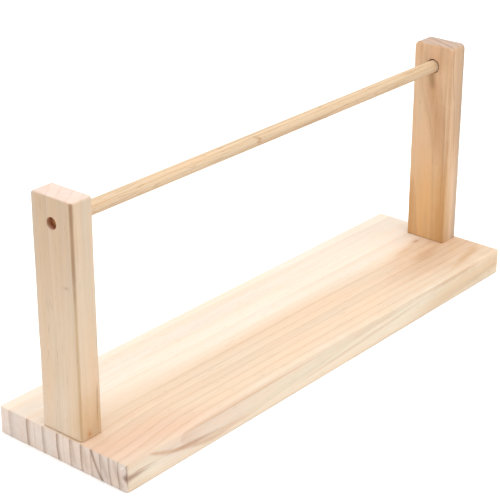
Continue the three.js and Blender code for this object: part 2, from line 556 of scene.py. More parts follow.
        # Four times the product of the two shares is 1 in the middle and 0 at both ends.
        arch = sheet.math("MULTIPLY", sheet.math("MULTIPLY", along, left), 4.0)
        nearest = sheet.vector("ADD", sheet.scale(run, along), sheet.scale(given["Bow"], arch))
        away = sheet.vector("LENGTH", sheet.vector("SUBTRACT", offset, nearest))
        change = sheet.math("SUBTRACT", given["To Width"], given["From Width"])
        width = sheet.math("MULTIPLY_ADD", change, along, given["From Width"])
        waver = sheet.math("MULTIPLY_ADD", given["Uneven"], given["Wobble"], 1.0)
        width = sheet.math("MULTIPLY", width, waver)
        fade = sheet.ramp(along, 0.0, given["From Fade"])
        fade = sheet.math("MULTIPLY", fade, sheet.ramp(left, 0.0, given["To Fade"]))
        full = sheet.math("MULTIPLY_ADD", fade, 1 - self.STREAK_END, self.STREAK_END)
        width = sheet.math("MULTIPLY", width, full)
        share = sheet.math("DIVIDE", away, width)
        sheet.feed(result["Mask"], sheet.math("MULTIPLY", sheet.ramp(share, 0.0, 1.0, 1.0, 0.0), fade))
        return sheet.tree

    def pine_tone(self) -> Tree:
        """Builds the group that mixes the colour, the gloss and the relief of sanded pine, and paints shade
        inside bores.

        Returns:
            The group.
        """
        floats = ("Late", "Ring Tone", "Streak", "Hue", "Line", "Fibre", "Fleck", "Sapwood", "End Grain")
        floats += ("Arris", "Bore Shade", "Contrast", "Hue Range", "Line Depth", "Fleck Depth")
        colours = ("Early Sap", "Late Sap", "Early Heart", "Late Heart", "End Early", "End Late")
        takes = {name: "Float" for name in floats} | {name: "Color" for name in colours}
        gives = {"Color": "Color", "Roughness": "Float", "Height": "Float"}
        sheet, given, result = new_tree("ShaderNodeTree", "pine_tone", takes, gives)
        early = sheet.mix(given["Sapwood"], given["Early Heart"], given["Early Sap"])
        late = sheet.mix(given["Sapwood"], given["Late Heart"], given["Late Sap"])
        colour = sheet.mix(sheet.math("MULTIPLY", given["Late"], given["Contrast"], clamp=True), early, late)
        for name, tint in (("Line", self.LINE_TINT), ("Fleck", self.FLECK_TINT)):
            share = sheet.math("MULTIPLY", given[name], given[f"{name} Depth"])
            colour = sheet.mix(share, colour, sheet.shade(colour, tint))
        ring = sheet.math("POWER", given["Late"], self.END_RING_CURVE)
        colour = sheet.mix(given["End Grain"], colour, sheet.mix(ring, given["End Early"], given["End Late"]))
        hue = sheet.mix(given["Hue"], self.WARM_TINT, self.COOL_TINT)
        colour = sheet.mix(given["Hue Range"], colour, sheet.shade(colour, hue))
        level = sheet.math("MULTIPLY_ADD", given["Streak"], self.LEVEL_STREAK, self.LEVEL)
        for name, share in self.LEVEL_SHARES.items():
            uneven = sheet.math("SUBTRACT", given[name], NOISE_MIDDLE)
            level = sheet.math("MULTIPLY_ADD", uneven, share, level)
        colour = sheet.shade(colour, level)
        worn = sheet.math("MULTIPLY", given["Arris"], self.ARRIS_WEAR)
        colour = sheet.mix(worn, colour, sheet.shade(colour, self.ARRIS_TINT))
        # Painted shade inside the bores, a dark reddish brown.
        colour = sheet.mix(given["Bore Shade"], colour, sheet.shade(colour, self.BORE_SHADE_TINT))
        sheet.feed(result["Color"], colour)
        sheet.feed(result["Roughness"], sheet.add_up(self.ROUGHNESS, given, self.ROUGHNESS_SHARES))
        sheet.feed(result["Height"], sheet.add_up(0.0, given, self.HEIGHT_SHARES))
        return sheet.tree


@dataclass(frozen=True)
class Knot:
    """A small knot, in the part's frame. One of no depth isn't seen, but bends the rings round it.

    Attributes:
        centre: Its middle.
        radius: Its radius.
        lie: How fast it fades along each axis.
        core: The colour of its middle.
        depth: How strongly it shows.
        halo: How strongly the ring round it shows beside that.
    """

    centre: Triple
    radius: float
    lie: Triple
    core: Rgb = (150, 92, 48)
    depth: float = 0.8
    halo: float = 0.35


@dataclass(frozen=True)
class Streak:
    """A streak from one point to another, in the part's frame.

    Attributes:
        start: The first point.
        end: The last point.
        widths: The width at each of the two.
        colour: Its colour.
        depth: How strongly it shows.
        fades: The share of its length that fades in at the start, and out at the end.
        bow: How far its middle is drawn aside.
        wobble: How uneven its width is.
        at_end: Whether it lies on end grain instead of side grain.
    """

    start: Triple
    end: Triple
    widths: Pair
    colour: Rgb
    depth: float
    fades: Pair = (0.25, 0.5)
    bow: Triple = (0.0, 0.0, 0.0)
    wobble: float = 1.0
    at_end: bool = False


@dataclass(frozen=True)
class StainAndShade(Streak):
    """A streak that multiplies the wood's colour and leaves its grain to be seen: a stain that has soaked in,
    and also painted shade and painted bounce light.
    """


@dataclass(frozen=True)
class PineFinish:
    """One stick or board of sanded pine: where its rings lie, its colours and its marks.

    Attributes:
        name: The name of the material.
        grain: Which way the fibres run.
        pith: A point of the tree's middle, with the fibres turned along X.
        lean: How far the middle of the tree moves along each axis, for each millimetre along X.
        spacing: The width of a ring.
        growth: How much wider each ring is than the one inside it, as a share.
        phase: How far the rings are shifted, in rings.
        seed: A number that sets this piece's fibres apart.
        early_sap: The early wood's colour in the sapwood.
        late_sap: The late wood's colour there.
        end_early: The early wood's colour on end grain.
        end_late: The late wood's colour there.
        early_heart: The early wood's colour in the heartwood, if it has any.
        late_heart: The late wood's colour there.
        even_to: The radius up to which all rings are as wide.
        wander: How far the rings wander.
        late_share: The share of a ring that late wood takes.
        contrast: How strongly the late wood shows.
        heart_radius: The radius of the heartwood.
        heart_border: Where it turns into sapwood, inside and outside that radius.
        fleck_level: The level of the noise at which resin flecks begin.
        fleck_depth: How strongly they show.
        hue_range: How strongly warm and cool strips show.
        line_depth: How strongly fine lines show.
        relief: How strongly the relief shows.
        sheen: How much light glances off.
        marks: The knots, streaks, stains, painted shade and painted bounce light that can be seen, and those
            that bend the rings.
    """

    name: str
    grain: Grain
    pith: Triple
    lean: Triple
    spacing: float
    growth: float
    phase: float
    seed: float
    early_sap: Rgb
    late_sap: Rgb
    end_early: Rgb
    end_late: Rgb
    early_heart: Optional[Rgb] = None
    late_heart: Optional[Rgb] = None
    even_to: float = 0.0
    wander: float = 1.6
    late_share: float = 0.45
    contrast: float = 0.5
    heart_radius: float = 0.0
    heart_border: Pair = (-8.0, 4.0)
    fleck_level: float = 0.64
    fleck_depth: float = 0.35
    hue_range: float = 1.0
    line_depth: float = 0.6
    relief: float = 0.6
    sheen: float = 0.35
    marks: tuple[Union[Knot, Streak], ...] = ()

    def colours(self) -> dict[str, Colour]:
        """Gives the linear colours of the wood.

        Returns:
            The colours, by the names that the tone group gives them.
        """
        heart = (self.early_heart or self.early_sap, self.late_heart or self.late_sap)
        names = ("Early Sap", "Late Sap", "Early Heart", "Late Heart", "End Early", "End Late")
        values = (self.early_sap, self.late_sap, *heart, self.end_early, self.end_late)
        return {name: srgb(*value) for name, value in zip(names, values)}

    def mark_tint(self, mark: Streak) -> Colour:
        """Gives the colour of a streak; for a stain, and for painted shade and bounce light, what it
        multiplies the wood's colour by.

        Args:
            mark: The streak.

        Returns:
            The linear colour.
        """
        colour = srgb(*mark.colour)
        if not isinstance(mark, StainAndShade):
            return colour
        clean = self.colours()["End Early" if mark.at_end else "Early Heart"]
        return (colour[0] / clean[0], colour[1] / clean[1], colour[2] / clean[2], 1.0)

    def lay_marks(
        self, sheet: Sheet, effects: WoodEffects, point: Plug, radius: Plug, end_grain: Plug
    ) -> tuple[Plug, list[Layer]]:
        """Writes where the marks lie, and bends the rings round the knots.

        Args:
            sheet: The material that is being written.
            effects: The shared shader groups.
            point: The point of the surface, in millimetres.
            radius: Its distance from the middle of the tree.
            end_grain: How much of the surface is end grain there.

        Returns:
            The distance with the rings bent, and the mask, colour, depth and way of mixing of each mark.
        """
        side_grain = sheet.math("SUBTRACT", 1.0, end_grain)
        uneven = sheet.uneven(point, effects.STREAK_CELL, detail=2.0, seed=9.0)
        layers = []
        for mark in self.marks:
            if isinstance(mark, Knot):
                feeds = {"Point": point, "Centre": mark.centre, "Lie": mark.lie, "Radius": mark.radius}
                knot = sheet.place(effects.knot, feeds)
                radius = sheet.math("ADD", radius, knot["Push"])
                halo = sheet.math("MULTIPLY", knot["Halo"], mark.halo)
                mask = sheet.math("MAXIMUM", knot["Core"], halo)
                layers.append((mask, srgb(*mark.core), mark.depth, "MIX"))
            else:
                feeds = {"Point": point, "From": mark.start, "To": mark.end, "Bow": mark.bow}
                feeds |= {"From Width": mark.widths[0], "To Width": mark.widths[1]}
                feeds |= {"From Fade": mark.fades[0], "To Fade": mark.fades[1]}
                feeds |= {"Uneven": uneven, "Wobble": mark.wobble}
                mask = sheet.place(effects.streak, feeds)["Mask"]
                mask = sheet.math("MULTIPLY", mask, end_grain if mark.at_end else side_grain)
                blend = "MULTIPLY" if isinstance(mark, StainAndShade) else "MIX"
                layers.append((mask, self.mark_tint(mark), mark.depth, blend))
        return radius, layers

    def make(self, effects: WoodEffects) -> bpy.types.Material:
        """Builds the material.

        Args:
            effects: The shared shader groups.

        Returns:
            The material.
        """
        material, sheet, point = new_material(self.name)
        fibred = sheet.get("ShaderNodeMapping", {"Vector": point, "Rotation": self.grain.value})
        feeds = {"Point": fibred, "Pith": self.pith, "Lean": self.lean, "Wander": self.wander}
        radius = sheet.place(effects.space, feeds)["Radius"]
        shares = {}
        for label, attribute in (("End Grain", "end_grain"), ("Arris", "arris"), ("Bore Shade", "bore_shade")):
            shares[label] = sheet.add("ShaderNodeAttribute", attribute_name=attribute).outputs["Fac"]
        radius, layers = self.lay_marks(sheet, effects, point, radius, shares["End Grain"])
        feeds = {"Radius": radius, "Spacing": self.spacing, "Even To": self.even_to, "Growth": self.growth}
        rings = sheet.place(effects.rings, feeds | {"Phase": self.phase, "Late Share": self.late_share})
        feeds = {"Point": fibred, "Seed": self.seed, "Fleck Level": self.fleck_level}
        fibres = sheet.place(effects.fibres, feeds)
        sapwood = sheet.ramp(radius, *(self.heart_radius + step for step in self.heart_border))
        feeds = {"Late": rings["Late"], "Ring Tone": rings["Tone"], "Sapwood": sapwood}
        feeds |= {name: fibres[name] for name in ("Streak", "Hue", "Line", "Fibre", "Fleck")} | shares
        feeds |= {"Contrast": self.contrast, "Hue Range": self.hue_range}
        feeds |= {"Line Depth": self.line_depth, "Fleck Depth": self.fleck_depth} | self.colours()
        tone = sheet.place(effects.tone, feeds)
        colour = tone["Color"]
        for mask, mark_tint, depth, blend in layers:
            colour = sheet.mix(sheet.math("MULTIPLY", mask, depth), colour, mark_tint, blend)
        feeds = {"Base Color": colour, "Roughness": tone["Roughness"], "Specular IOR Level": self.sheen}
        sheet.surface(feeds, tone["Height"], self.relief)
        return material


@dataclass(frozen=True)
class ZincFinish:
    """Zinc-plated steel, a little cloudy and scratched."""

    name: str = "zinc_plated_steel"
    bright: Rgb = (206, 206, 200)
    dull: Rgb = (158, 158, 154)
    cloud_cell: Triple = (2.4, 2.4, 2.4)
    scratch_cell: Triple = (0.12, 3.0, 1.0)
    cloud_span: Pair = (0.35, 0.65)
    roughness: float = 0.2
    cloud_roughness: float = 0.25
    relief: float = 0.3

    def make(self) -> bpy.types.Material:
        """Builds the material.

        Returns:
            The material.
        """
        material, sheet, point = new_material(self.name)
        cloud = sheet.grain_noise(point, self.cloud_cell, detail=3.0, seed=3.0).outputs[0]
        scratch = sheet.grain_noise(point, self.scratch_cell, detail=2.0, seed=4.0).outputs[0]
        colour = sheet.mix(sheet.ramp(cloud, *self.cloud_span), srgb(*self.dull), srgb(*self.bright))
        rough = sheet.math("MULTIPLY_ADD", cloud, self.cloud_roughness, self.roughness)
        sheet.surface({"Base Color": colour, "Metallic": 1.0, "Roughness": rough}, scratch, self.relief)
        return material


@dataclass(frozen=True)
class OutlinePoint:
    """A point of a slab's outline with the direction that points out of the wood there."""

    u: float
    v: float
    out_u: float
    out_v: float


def arc(centre_u: float, centre_v: float, radius: float, start: float, steps: int) -> list[OutlinePoint]:
    """Gives the points of a quarter turn of an outline, anticlockwise.

    Args:
        centre_u: Middle of the arc along U.
        centre_v: Middle of the arc along V.
        radius: Radius of the arc.
        start: Angle of its first point, in quarter turns.
        steps: How many steps it is cut into.

    Returns:
        The points, both ends among them.
    """
    points = []
    for i in range(steps + 1):
        angle = (start + i / steps) * QUARTER
        out = (math.cos(angle), math.sin(angle))
        points.append(OutlinePoint(centre_u + radius * out[0], centre_v + radius * out[1], *out))
    return points


def between(first: OutlinePoint, last: OutlinePoint, step: float) -> list[OutlinePoint]:
    """Gives the points of a straight stretch of an outline, without its two ends.

    Args:
        first: The end that it starts from.
        last: The end that it runs to.
        step: The longest distance between two points.

    Returns:
        The points.
    """
    count = max(1, math.ceil(math.hypot(last.u - first.u, last.v - first.v) / step))
    points = []
    for i in range(1, count):
        share = i / count
        u = first.u + (last.u - first.u) * share
        v = first.v + (last.v - first.v) * share
        points.append(OutlinePoint(u, v, first.out_u, first.out_v))
    return points


class Shell:
    """Writes one closed mesh from rows of points, skins between them and flat caps."""

    def __init__(self, place: Callable[[float, float, float], Triple]) -> None:
        """Starts an empty mesh. Place turns U, V and W in millimetres into X, Y and Z."""
        self.mesh = bmesh.new()
        self.arris = self.mesh.verts.layers.float.new("arris")
        # How much painted shade each point takes inside a bore.
        self.bore_shade = self.mesh.verts.layers.float.new("bore_shade")
        self.where = place

    def row(self, points: Iterable[Triple], worn: float = 0.0, bore_shade: float = 0.0) -> Loop:
        """Adds a row of points.

        Args:
            points: U, V and W of each, in millimetres.
            worn: How much of a sanded arris they are.
            bore_shade: How much painted shade they take, as the wall deep in a bore.

        Returns:
            The new vertices.
        """
        made = []
        for point in points:
            vertex = self.mesh.verts.new(Vector(self.where(*point)) * MM)
            vertex[self.arris] = worn
            vertex[self.bore_shade] = bore_shade
            made.append(vertex)
        return made

    def skin(self, first: Loop, second: Loop, closed: bool = True) -> None:
        """Joins two rows with four-sided faces.

        Args:
            first: One row.
            second: The row next to it, with as many points.
            closed: Whether the rows are rings.
        """
        count = len(first)
        for i in range(count if closed else count - 1):
            j = (i + 1) % count
            self.mesh.faces.new((first[i], first[j], second[j], second[i]))

    def tube(self, rings: Sequence[Loop]) -> None:
        """Joins each ring with the next one."""
        for first, second in zip(rings, rings[1:]):
            self.skin(first, second)

    def cap(self, *loops: Loop) -> None:
        """Fills a flat face.

        Args:
            *loops: Its outline, and then the rims of its holes.
        """
        edges = []
        for loop in loops:
            for pair in zip(loop, loop[1:] + loop[:1]):
                edges.append(self.mesh.edges.get(pair) or self.mesh.edges.new(pair))
        bmesh.ops.triangle_fill(self.mesh, use_beauty=True, use_dissolve=False, edges=edges)

    def tip(self, ring: Loop, point: Triple) -> None:
        """Closes a ring with a cone.

        Args:
            ring: The ring.
            point: U, V and W of the tip.
        """
        end = self.row([point])[0]
        for first, second in zip(ring, ring[1:] + ring[:1]):
            self.mesh.faces.new((first, second, end))

    def walls(
        self, outline: Sequence[OutlinePoint], span: Pair, eases: Sequence[Sequence[float]], closed: bool,
        steps: int = 4
    ) -> list[Loop]:
        """Writes the sides of a slab, with the rounded edges that lead into its two flat faces.

        Args:
            outline: The slab's outline.
            span: W of its low and of its high face.
            eases: For each of the two faces, the radius of the edge at each point of the outline.
            closed: Whether the outline is a ring.
            steps: How many steps each rounded edge is cut into.

        Returns:
            The rows, from the rim of the low face to the rim of the high face.
        """
        rows = []
        for level, radii, inward in zip(span, eases, (1, -1)):
            half = []
            for k in range(steps + 1):
                angle = k / steps * QUARTER
                points = []
                for p, radius in zip(outline, radii):
                    inset = radius * (1 - math.sin(angle))
                    w = level + inward * radius * (1 - math.cos(angle))
                    points.append((p.u - p.out_u * inset, p.v - p.out_v * inset, w))
                half.append(self.row(points, 1.0 if 0 < k < steps else 0.0))
            rows.extend(half if inward == 1 else half[::-1])
        for first, second in zip(rows, rows[1:]):
            self.skin(first, second, closed)
        return rows

    def bruise(self, centre: Triple, reach: float, depth: float) -> None:
        """Presses a small dent into the wood.

        Args:
            centre: X, Y and Z of the middle of the dent, in millimetres.
            reach: How far it spreads.
            depth: How deep it goes.
        """
        self.mesh.normal_update()
        middle = Vector(centre) * MM
        for vertex in self.mesh.verts:
            share = 1 - (vertex.co - middle).length / (reach * MM)
            if share > 0:
                vertex.co -= vertex.normal * depth * MM * share

    def piece(self, name: str, grain: Grain, material: bpy.types.Material) -> bpy.types.Object:
        """Closes the mesh and puts it in the scene.

        Args:
            name: The name of the piece.
            grain: Which way its fibres run.
            material: Its finish.

        Returns:
            The piece, at the origin.
        """
        bmesh.ops.recalc_face_normals(self.mesh, faces=self.mesh.faces)
        mesh = bpy.data.meshes.new(name)
        self.mesh.to_mesh(mesh)
        self.mesh.free()
        mesh.materials.append(material)
        return stand(name, mesh, grain)


def stand(name: str, mesh: bpy.types.Mesh, grain: Grain) -> bpy.types.Object:
    """Marks the end grain of a wooden mesh, smooths it and puts it in the scene.

    Args:
        name: The name of the piece.
        mesh: Its mesh, in the part's frame.
        grain: Which way its fibres run.

    Returns:
        The piece, at the origin.
    """
    mesh.shade_smooth()
    mesh.set_sharp_from_angle(angle=WOOD_CREASE)
    across = [abs(corner.vector.dot(grain.axis)) for corner in mesh.corner_normals]
    mark = mesh.attributes.new("end_grain", "FLOAT", "CORNER")
    shares = [(share - END_GRAIN_START) / END_GRAIN_REACH for share in across]
    mark.data.foreach_set("value", [min(1.0, max(0.0, share)) for share in shares])
    piece = show(name, mesh)
    piece.modifiers.new("flat_faces_stay_flat", "WEIGHTED_NORMAL").keep_sharp = True
    return piece


@dataclass(frozen=True)
class SandedEdge:
    """An edge that is rounded by hand. Sizes are millimetres.

    Attributes:
        radius: Its radius.
        wider_at_front: How much more it is at the front.
        wider_at_top: How much is added to that at the top.
        foot: The height of the post's foot.
        height: The post's height.
        share: How uneven it is.
        length: Over what length it varies.
    """

    radius: float = 1.35
    wider_at_front: float = 0.0
    wider_at_top: float = 0.0
    foot: float = 17.0
    height: float = 140.0
    share: float = 0.3
    length: float = 14.0

    def planned(self, point: OutlinePoint) -> float:
        """Returns the radius that is meant at a point, before it is made uneven."""
        up = (point.v - self.foot) / self.height
        return self.radius + max(0.0, -point.out_u) * (self.wider_at_front + self.wider_at_top * up)

    def along(self, outline: Sequence[OutlinePoint], seed: float) -> list[float]:
        """Gives the radius at each point of an outline, a little uneven as a hand leaves it.

        Args:
            outline: The outline.
            seed: A number that sets this edge apart from others.

        Returns:
            The radii.
        """
        radii = []
        for point in outline:
            waver = noise.noise((point.u / self.length, point.v / self.length, seed))
            radii.append(self.planned(point) * (1 + self.share * waver))
        return radii


@dataclass
class BaseBoard:
    """The board that the rack stands on. Sizes are millimetres.

    Attributes:
        finish: Its wood.
        edge: The edge round its two flat faces.
        corner: The radius of its upright corners.
        corner_steps: How many steps each of them is cut into.
        step: The longest distance between two points of its outline.
        screw_hole_radius: The radius of the holes for the screws.
        head_radius: The radius of the countersinks.
        sink: How deep the straight part of a countersink is.
        hole_sides: How many sides the holes have.
        dents: The place, the reach and the depth of each dent.
    """

    finish: PineFinish
    edge: SandedEdge = SandedEdge(0.8)
    corner: float = 1.5
    corner_steps: int = 5
    step: float = 4.0
    screw_hole_radius: float = 2.3
    head_radius: float = 4.3
    sink: float = 1.52
    hole_sides: int = 32
    dents: tuple[tuple[Triple, float, float], ...] = (((-182.8, -48.9, 16.9), 1.9, 0.9),)

    def outline(self, low: Vector, high: Vector) -> list[OutlinePoint]:
        """Gives the outline seen from above.

        Args:
            low: The lowest corner of the board, in millimetres.
            high: Its highest corner.

        Returns:
            The points, anticlockwise.
        """
        r = self.corner
        left, right, front, back = low.x + r, high.x - r, low.y + r, high.y - r
        middles = ((right, front, -1), (right, back, 0), (left, back, 1), (left, front, 2))
        corners = [arc(x, y, r, start, self.corner_steps) for x, y, start in middles]
        points = []
        for here, following in zip(corners, corners[1:] + corners[:1]):
            points += here + between(here[-1], following[0], self.step)
        return points

    def build(self, effects: WoodEffects) -> bpy.types.Object:
        """Builds the board with its rounded edges and its four countersunk holes.

        Args:
            effects: The shared shader groups.

        Returns:
            The piece.
        """
        low, high = (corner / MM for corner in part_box("base_board"))
        outline = self.outline(low, high)
        shell = Shell(lambda u, v, w: (u, v, w))
        eases = [self.edge.along(outline, seed) for seed in (3.0, 8.0)]
        rows = shell.walls(outline, (low.z, high.z), eases, closed=True)
        holes = [self.screw_hole(shell, place, (low.z, high.z)) for place in screw_places()]
        shell.cap(rows[0], *(under for under, over in holes))
        shell.cap(rows[-1], *(over for under, over in holes))
        for centre, reach, depth in self.dents:
            shell.bruise(centre, reach, depth)
        return shell.piece("sanded_board", self.finish.grain, self.finish.make(effects))

    def screw_hole(self, shell: Shell, place: Pair, span: Pair) -> tuple[Loop, Loop]:
        """Writes the countersunk hole for a screw, right through the board.

        Args:
            shell: The mesh of the board.
            place: X and Y of its axis.
            span: The height of the board's underside and of its top.

        Returns:
            The rim in the underside and the rim in the top.
        """
        u, v = place
        cone_end = self.sink + self.head_radius - self.screw_hole_radius
        profile = (
            (span[0], self.head_radius),
            (self.sink, self.head_radius),
            (cone_end, self.screw_hole_radius),
            (span[1], self.screw_hole_radius),
        )
        rings = []
        for w, r in profile:
            ways = directions(self.hole_sides)
            rings.append(shell.row((u + r * cosine, v + r * sine, w) for cosine, sine in ways))
        shell.tube(rings)
        return rings[0], rings[-1]

    def dress(self, piece: bpy.types.Object) -> None:
        """Makes the board ride on the frame in place of its plain solid.

        Args:
            piece: The board.
        """
        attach(piece, "frame")
        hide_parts("base_board")


@dataclass
class Post:
    """One upright with the bore for the dowel. Sizes are millimetres.

    Attributes:
        side: The end of the board that it stands on.
        finish: Its wood.
        edges: The edges round its left and its right face.
        top_radius: The radius of its two top corners.
        top_steps: How many steps each of them is cut into.
        step: The longest distance between two points of its outline.
        bore_radius: The radius of the bore that the dowel lies in.
        stop_radius: The radius of the small hole through the stop wall.
        stop_wall: The thickness of the stop wall.
        mouth: How far the mouths of the bore are broken.
        rim_shade: How much painted shade shows at the small hole's rim.
        wall_shade: How much of it shows a little deeper.
        wall_shade_depth: How deep that is.
        torn: How much the bore is torn, as a share of its radius.
        tears: How closely the tears follow each other.
        bore_below_top: How far the bore's axis is under the top.
        bore_sides: How many sides the bore has.
        screw_hole_radius: The radius of the blind holes for the screws.
        screw_hole_depth: Their depth up to the cone.
        screw_hole_point: The height of the cone.
        hole_sides: How many sides they have.
    """

    side: Side
    finish: PineFinish
    edges: tuple[SandedEdge, SandedEdge]
    top_radius: float
    top_steps: int = 10
    step: float = 4.0
    bore_radius: float = 4.65
    stop_radius: float = 3.5
    stop_wall: float = 3.4
    mouth: float = 0.35
    rim_shade: float = 0.25
    wall_shade: float = 0.65
    wall_shade_depth: float = 1.8
    torn: float = 0.008
    tears: float = 3.0
    bore_below_top: float = 14.9
    bore_sides: int = 64
    screw_hole_radius: float = 2.3
    screw_hole_depth: float = 25.0
    screw_hole_point: float = 1.38
    hole_sides: int = 24

    @property
    def node(self) -> str:
        """Returns the name of the solid that this post stands for."""
        return f"{self.side.value}_post"

    def outline(self, low: Vector, high: Vector) -> list[OutlinePoint]:
        """Gives the open outline seen from the end of the board, from the back of the foot over the top.

        Args:
            low: The lowest corner of the post, in millimetres.
            high: Its highest corner.

        Returns:
            The points, anticlockwise, where U is Y and V is Z.
        """
        r = self.top_radius
        foot = OutlinePoint(high.y, low.z, 1, 0)
        back = arc(high.y - r, high.z - r, r, 0, self.top_steps)
        front = arc(low.y + r, high.z - r, r, 1, self.top_steps)
        end = OutlinePoint(low.y, low.z, -1, 0)
        points = [foot, *between(foot, back[0], self.step), *back]
        points += between(back[-1], front[0], self.step) + front
        return points + between(front[-1], end, self.step) + [end]

    def bore_profile(self, low: float, high: float) -> list[Triple]:
        """Gives the profile of the bore from one face of the post to the other.

        Args:
            low: X of the face at the left.
            high: X of the face at the right.

        Returns:
            X, radius and how much painted shade the wall takes there, point by point.
        """
        wide, mouth = self.bore_radius, self.mouth
        # Depth and widening, as shares of the broken mouth, and how much painted shade the wall takes there.
        ease = ((1.0, 0.0, 1.0), (0.5, 0.15, 0.8), (0.15, 0.5, 0.2), (0.0, 1.0, 0.0), (0.0, 1.2, 0.0))
        right_mouth = [(high - a * mouth, wide + b * mouth, shaded) for a, b, shaded in ease]
        if self.side is Side.RIGHT:
            mirrored = [(low + high - x, radius, shaded) for x, radius, shaded in reversed(right_mouth)]
            return mirrored + right_mouth
        narrow, stop = self.stop_radius, low + self.stop_wall
        profile = []
        for a, b, shaded in reversed(ease):
            profile.append((low + a * mouth, narrow + b * mouth, self.rim_shade * shaded))
        profile.append((low + self.wall_shade_depth, narrow, self.wall_shade))
        return profile + [(stop, narrow, 1.0), (stop, wide, 1.0)] + right_mouth

    def build(self, effects: WoodEffects) -> bpy.types.Object:
        """Builds the post with its rounded top, its bore and the two holes for its screws.

        Args:
            effects: The shared shader groups.

        Returns:
            The piece.
        """
        low, high = (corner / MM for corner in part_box(self.node))
        outline = self.outline(low, high)
        shell = Shell(lambda u, v, w: (w, u, v))
        eases = [edge.along(outline, low.x + i) for i, edge in enumerate(self.edges)]
        rows = shell.walls(outline, (low.x, high.x), eases, closed=False)
        left_rim, right_rim = self.bore(shell, (low.x, high.x), high.z - self.bore_below_top)
        shell.cap(rows[0], left_rim)
        shell.cap(rows[-1], right_rim)
        here = [(x, y) for x, y in screw_places() if low.x < x < high.x]
        rims = [self.screw_hole(shell, x, y, low.z) for x, y in here]
        foot = [row[0] for row in rows] + [row[-1] for row in reversed(rows)]
        shell.cap(foot, *rims)
        return shell.piece(f"{self.side.value}_drilled_post", self.finish.grain, self.finish.make(effects))

    def bore(self, shell: Shell, span: Pair, height: float) -> tuple[Loop, Loop]:
        """Writes the bore for the dowel, a little torn as a drill leaves it.

        Args:
            shell: The mesh of the post.
            span: X of the post's left and right face.
            height: The height of the bore's axis.

        Returns:
            The rim in the left face and the rim in the right one.
        """
        rings = []
        for x, radius, shaded in self.bore_profile(*span):
            points = []
            for cosine, sine in directions(self.bore_sides):
                rough = noise.noise((self.tears * cosine, self.tears * sine, x))
                r = radius * (1 + self.torn * rough)
                points.append((r * cosine, height + r * sine, x))
            rings.append(shell.row(points, bore_shade=shaded))
        shell.tube(rings)
        return rings[0], rings[-1]

    def screw_hole(self, shell: Shell, x: float, y: float, z: float) -> Loop:
        """Writes the blind hole for a screw, up into the foot.

        Args:
            shell: The mesh of the post.
            x: Where its axis is.
            y: Where its axis is.
            z: The height of the foot.

        Returns:
            The rim in the foot.
        """
        r = self.screw_hole_radius
        end = z + self.screw_hole_depth
        ways = directions(self.hole_sides)
        rings = [
            shell.row((y + sine * r, height, x + cosine * r) for cosine, sine in ways) for height in (z, end)
        ]
        shell.tube(rings)
        shell.tip(rings[-1], (y, end + self.screw_hole_point, x))
        return rings[0]

    def dress(self, piece: bpy.types.Object) -> None:
        """Makes the post ride on the frame in place of its plain solid.

        Args:
            piece: The post.
        """
        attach(piece, "frame")
        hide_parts(self.node)


def grow(tree: Tree, values: dict[str, Any], name: str) -> bpy.types.Mesh:
    """Runs a Geometry Nodes tree once and keeps what it makes as a plain mesh.

    Args:
        tree: The tree.
        values: Input name and value.
        name: The name of the mesh.

    Returns:
        The mesh.
    """
    holder = bpy.data.objects.new(f"{name}_holder", bpy.data.meshes.new(f"{name}_holder"))
    modifier = holder.modifiers.new("shape", "NODES")
    modifier.node_group = tree
    for item in tree.interface.items_tree:
        if item.in_out == "INPUT" and item.name in values:
            modifier[item.identifier] = values[item.name]
    bpy.context.scene.collection.objects.link(holder)
    bpy.context.view_layer.update()
    grown = holder.evaluated_get(bpy.context.evaluated_depsgraph_get())
    mesh = bpy.data.meshes.new_from_object(grown)
    holder.modifiers.remove(modifier)
    bpy.data.objects.remove(holder)
    mesh.name = name
    return mesh


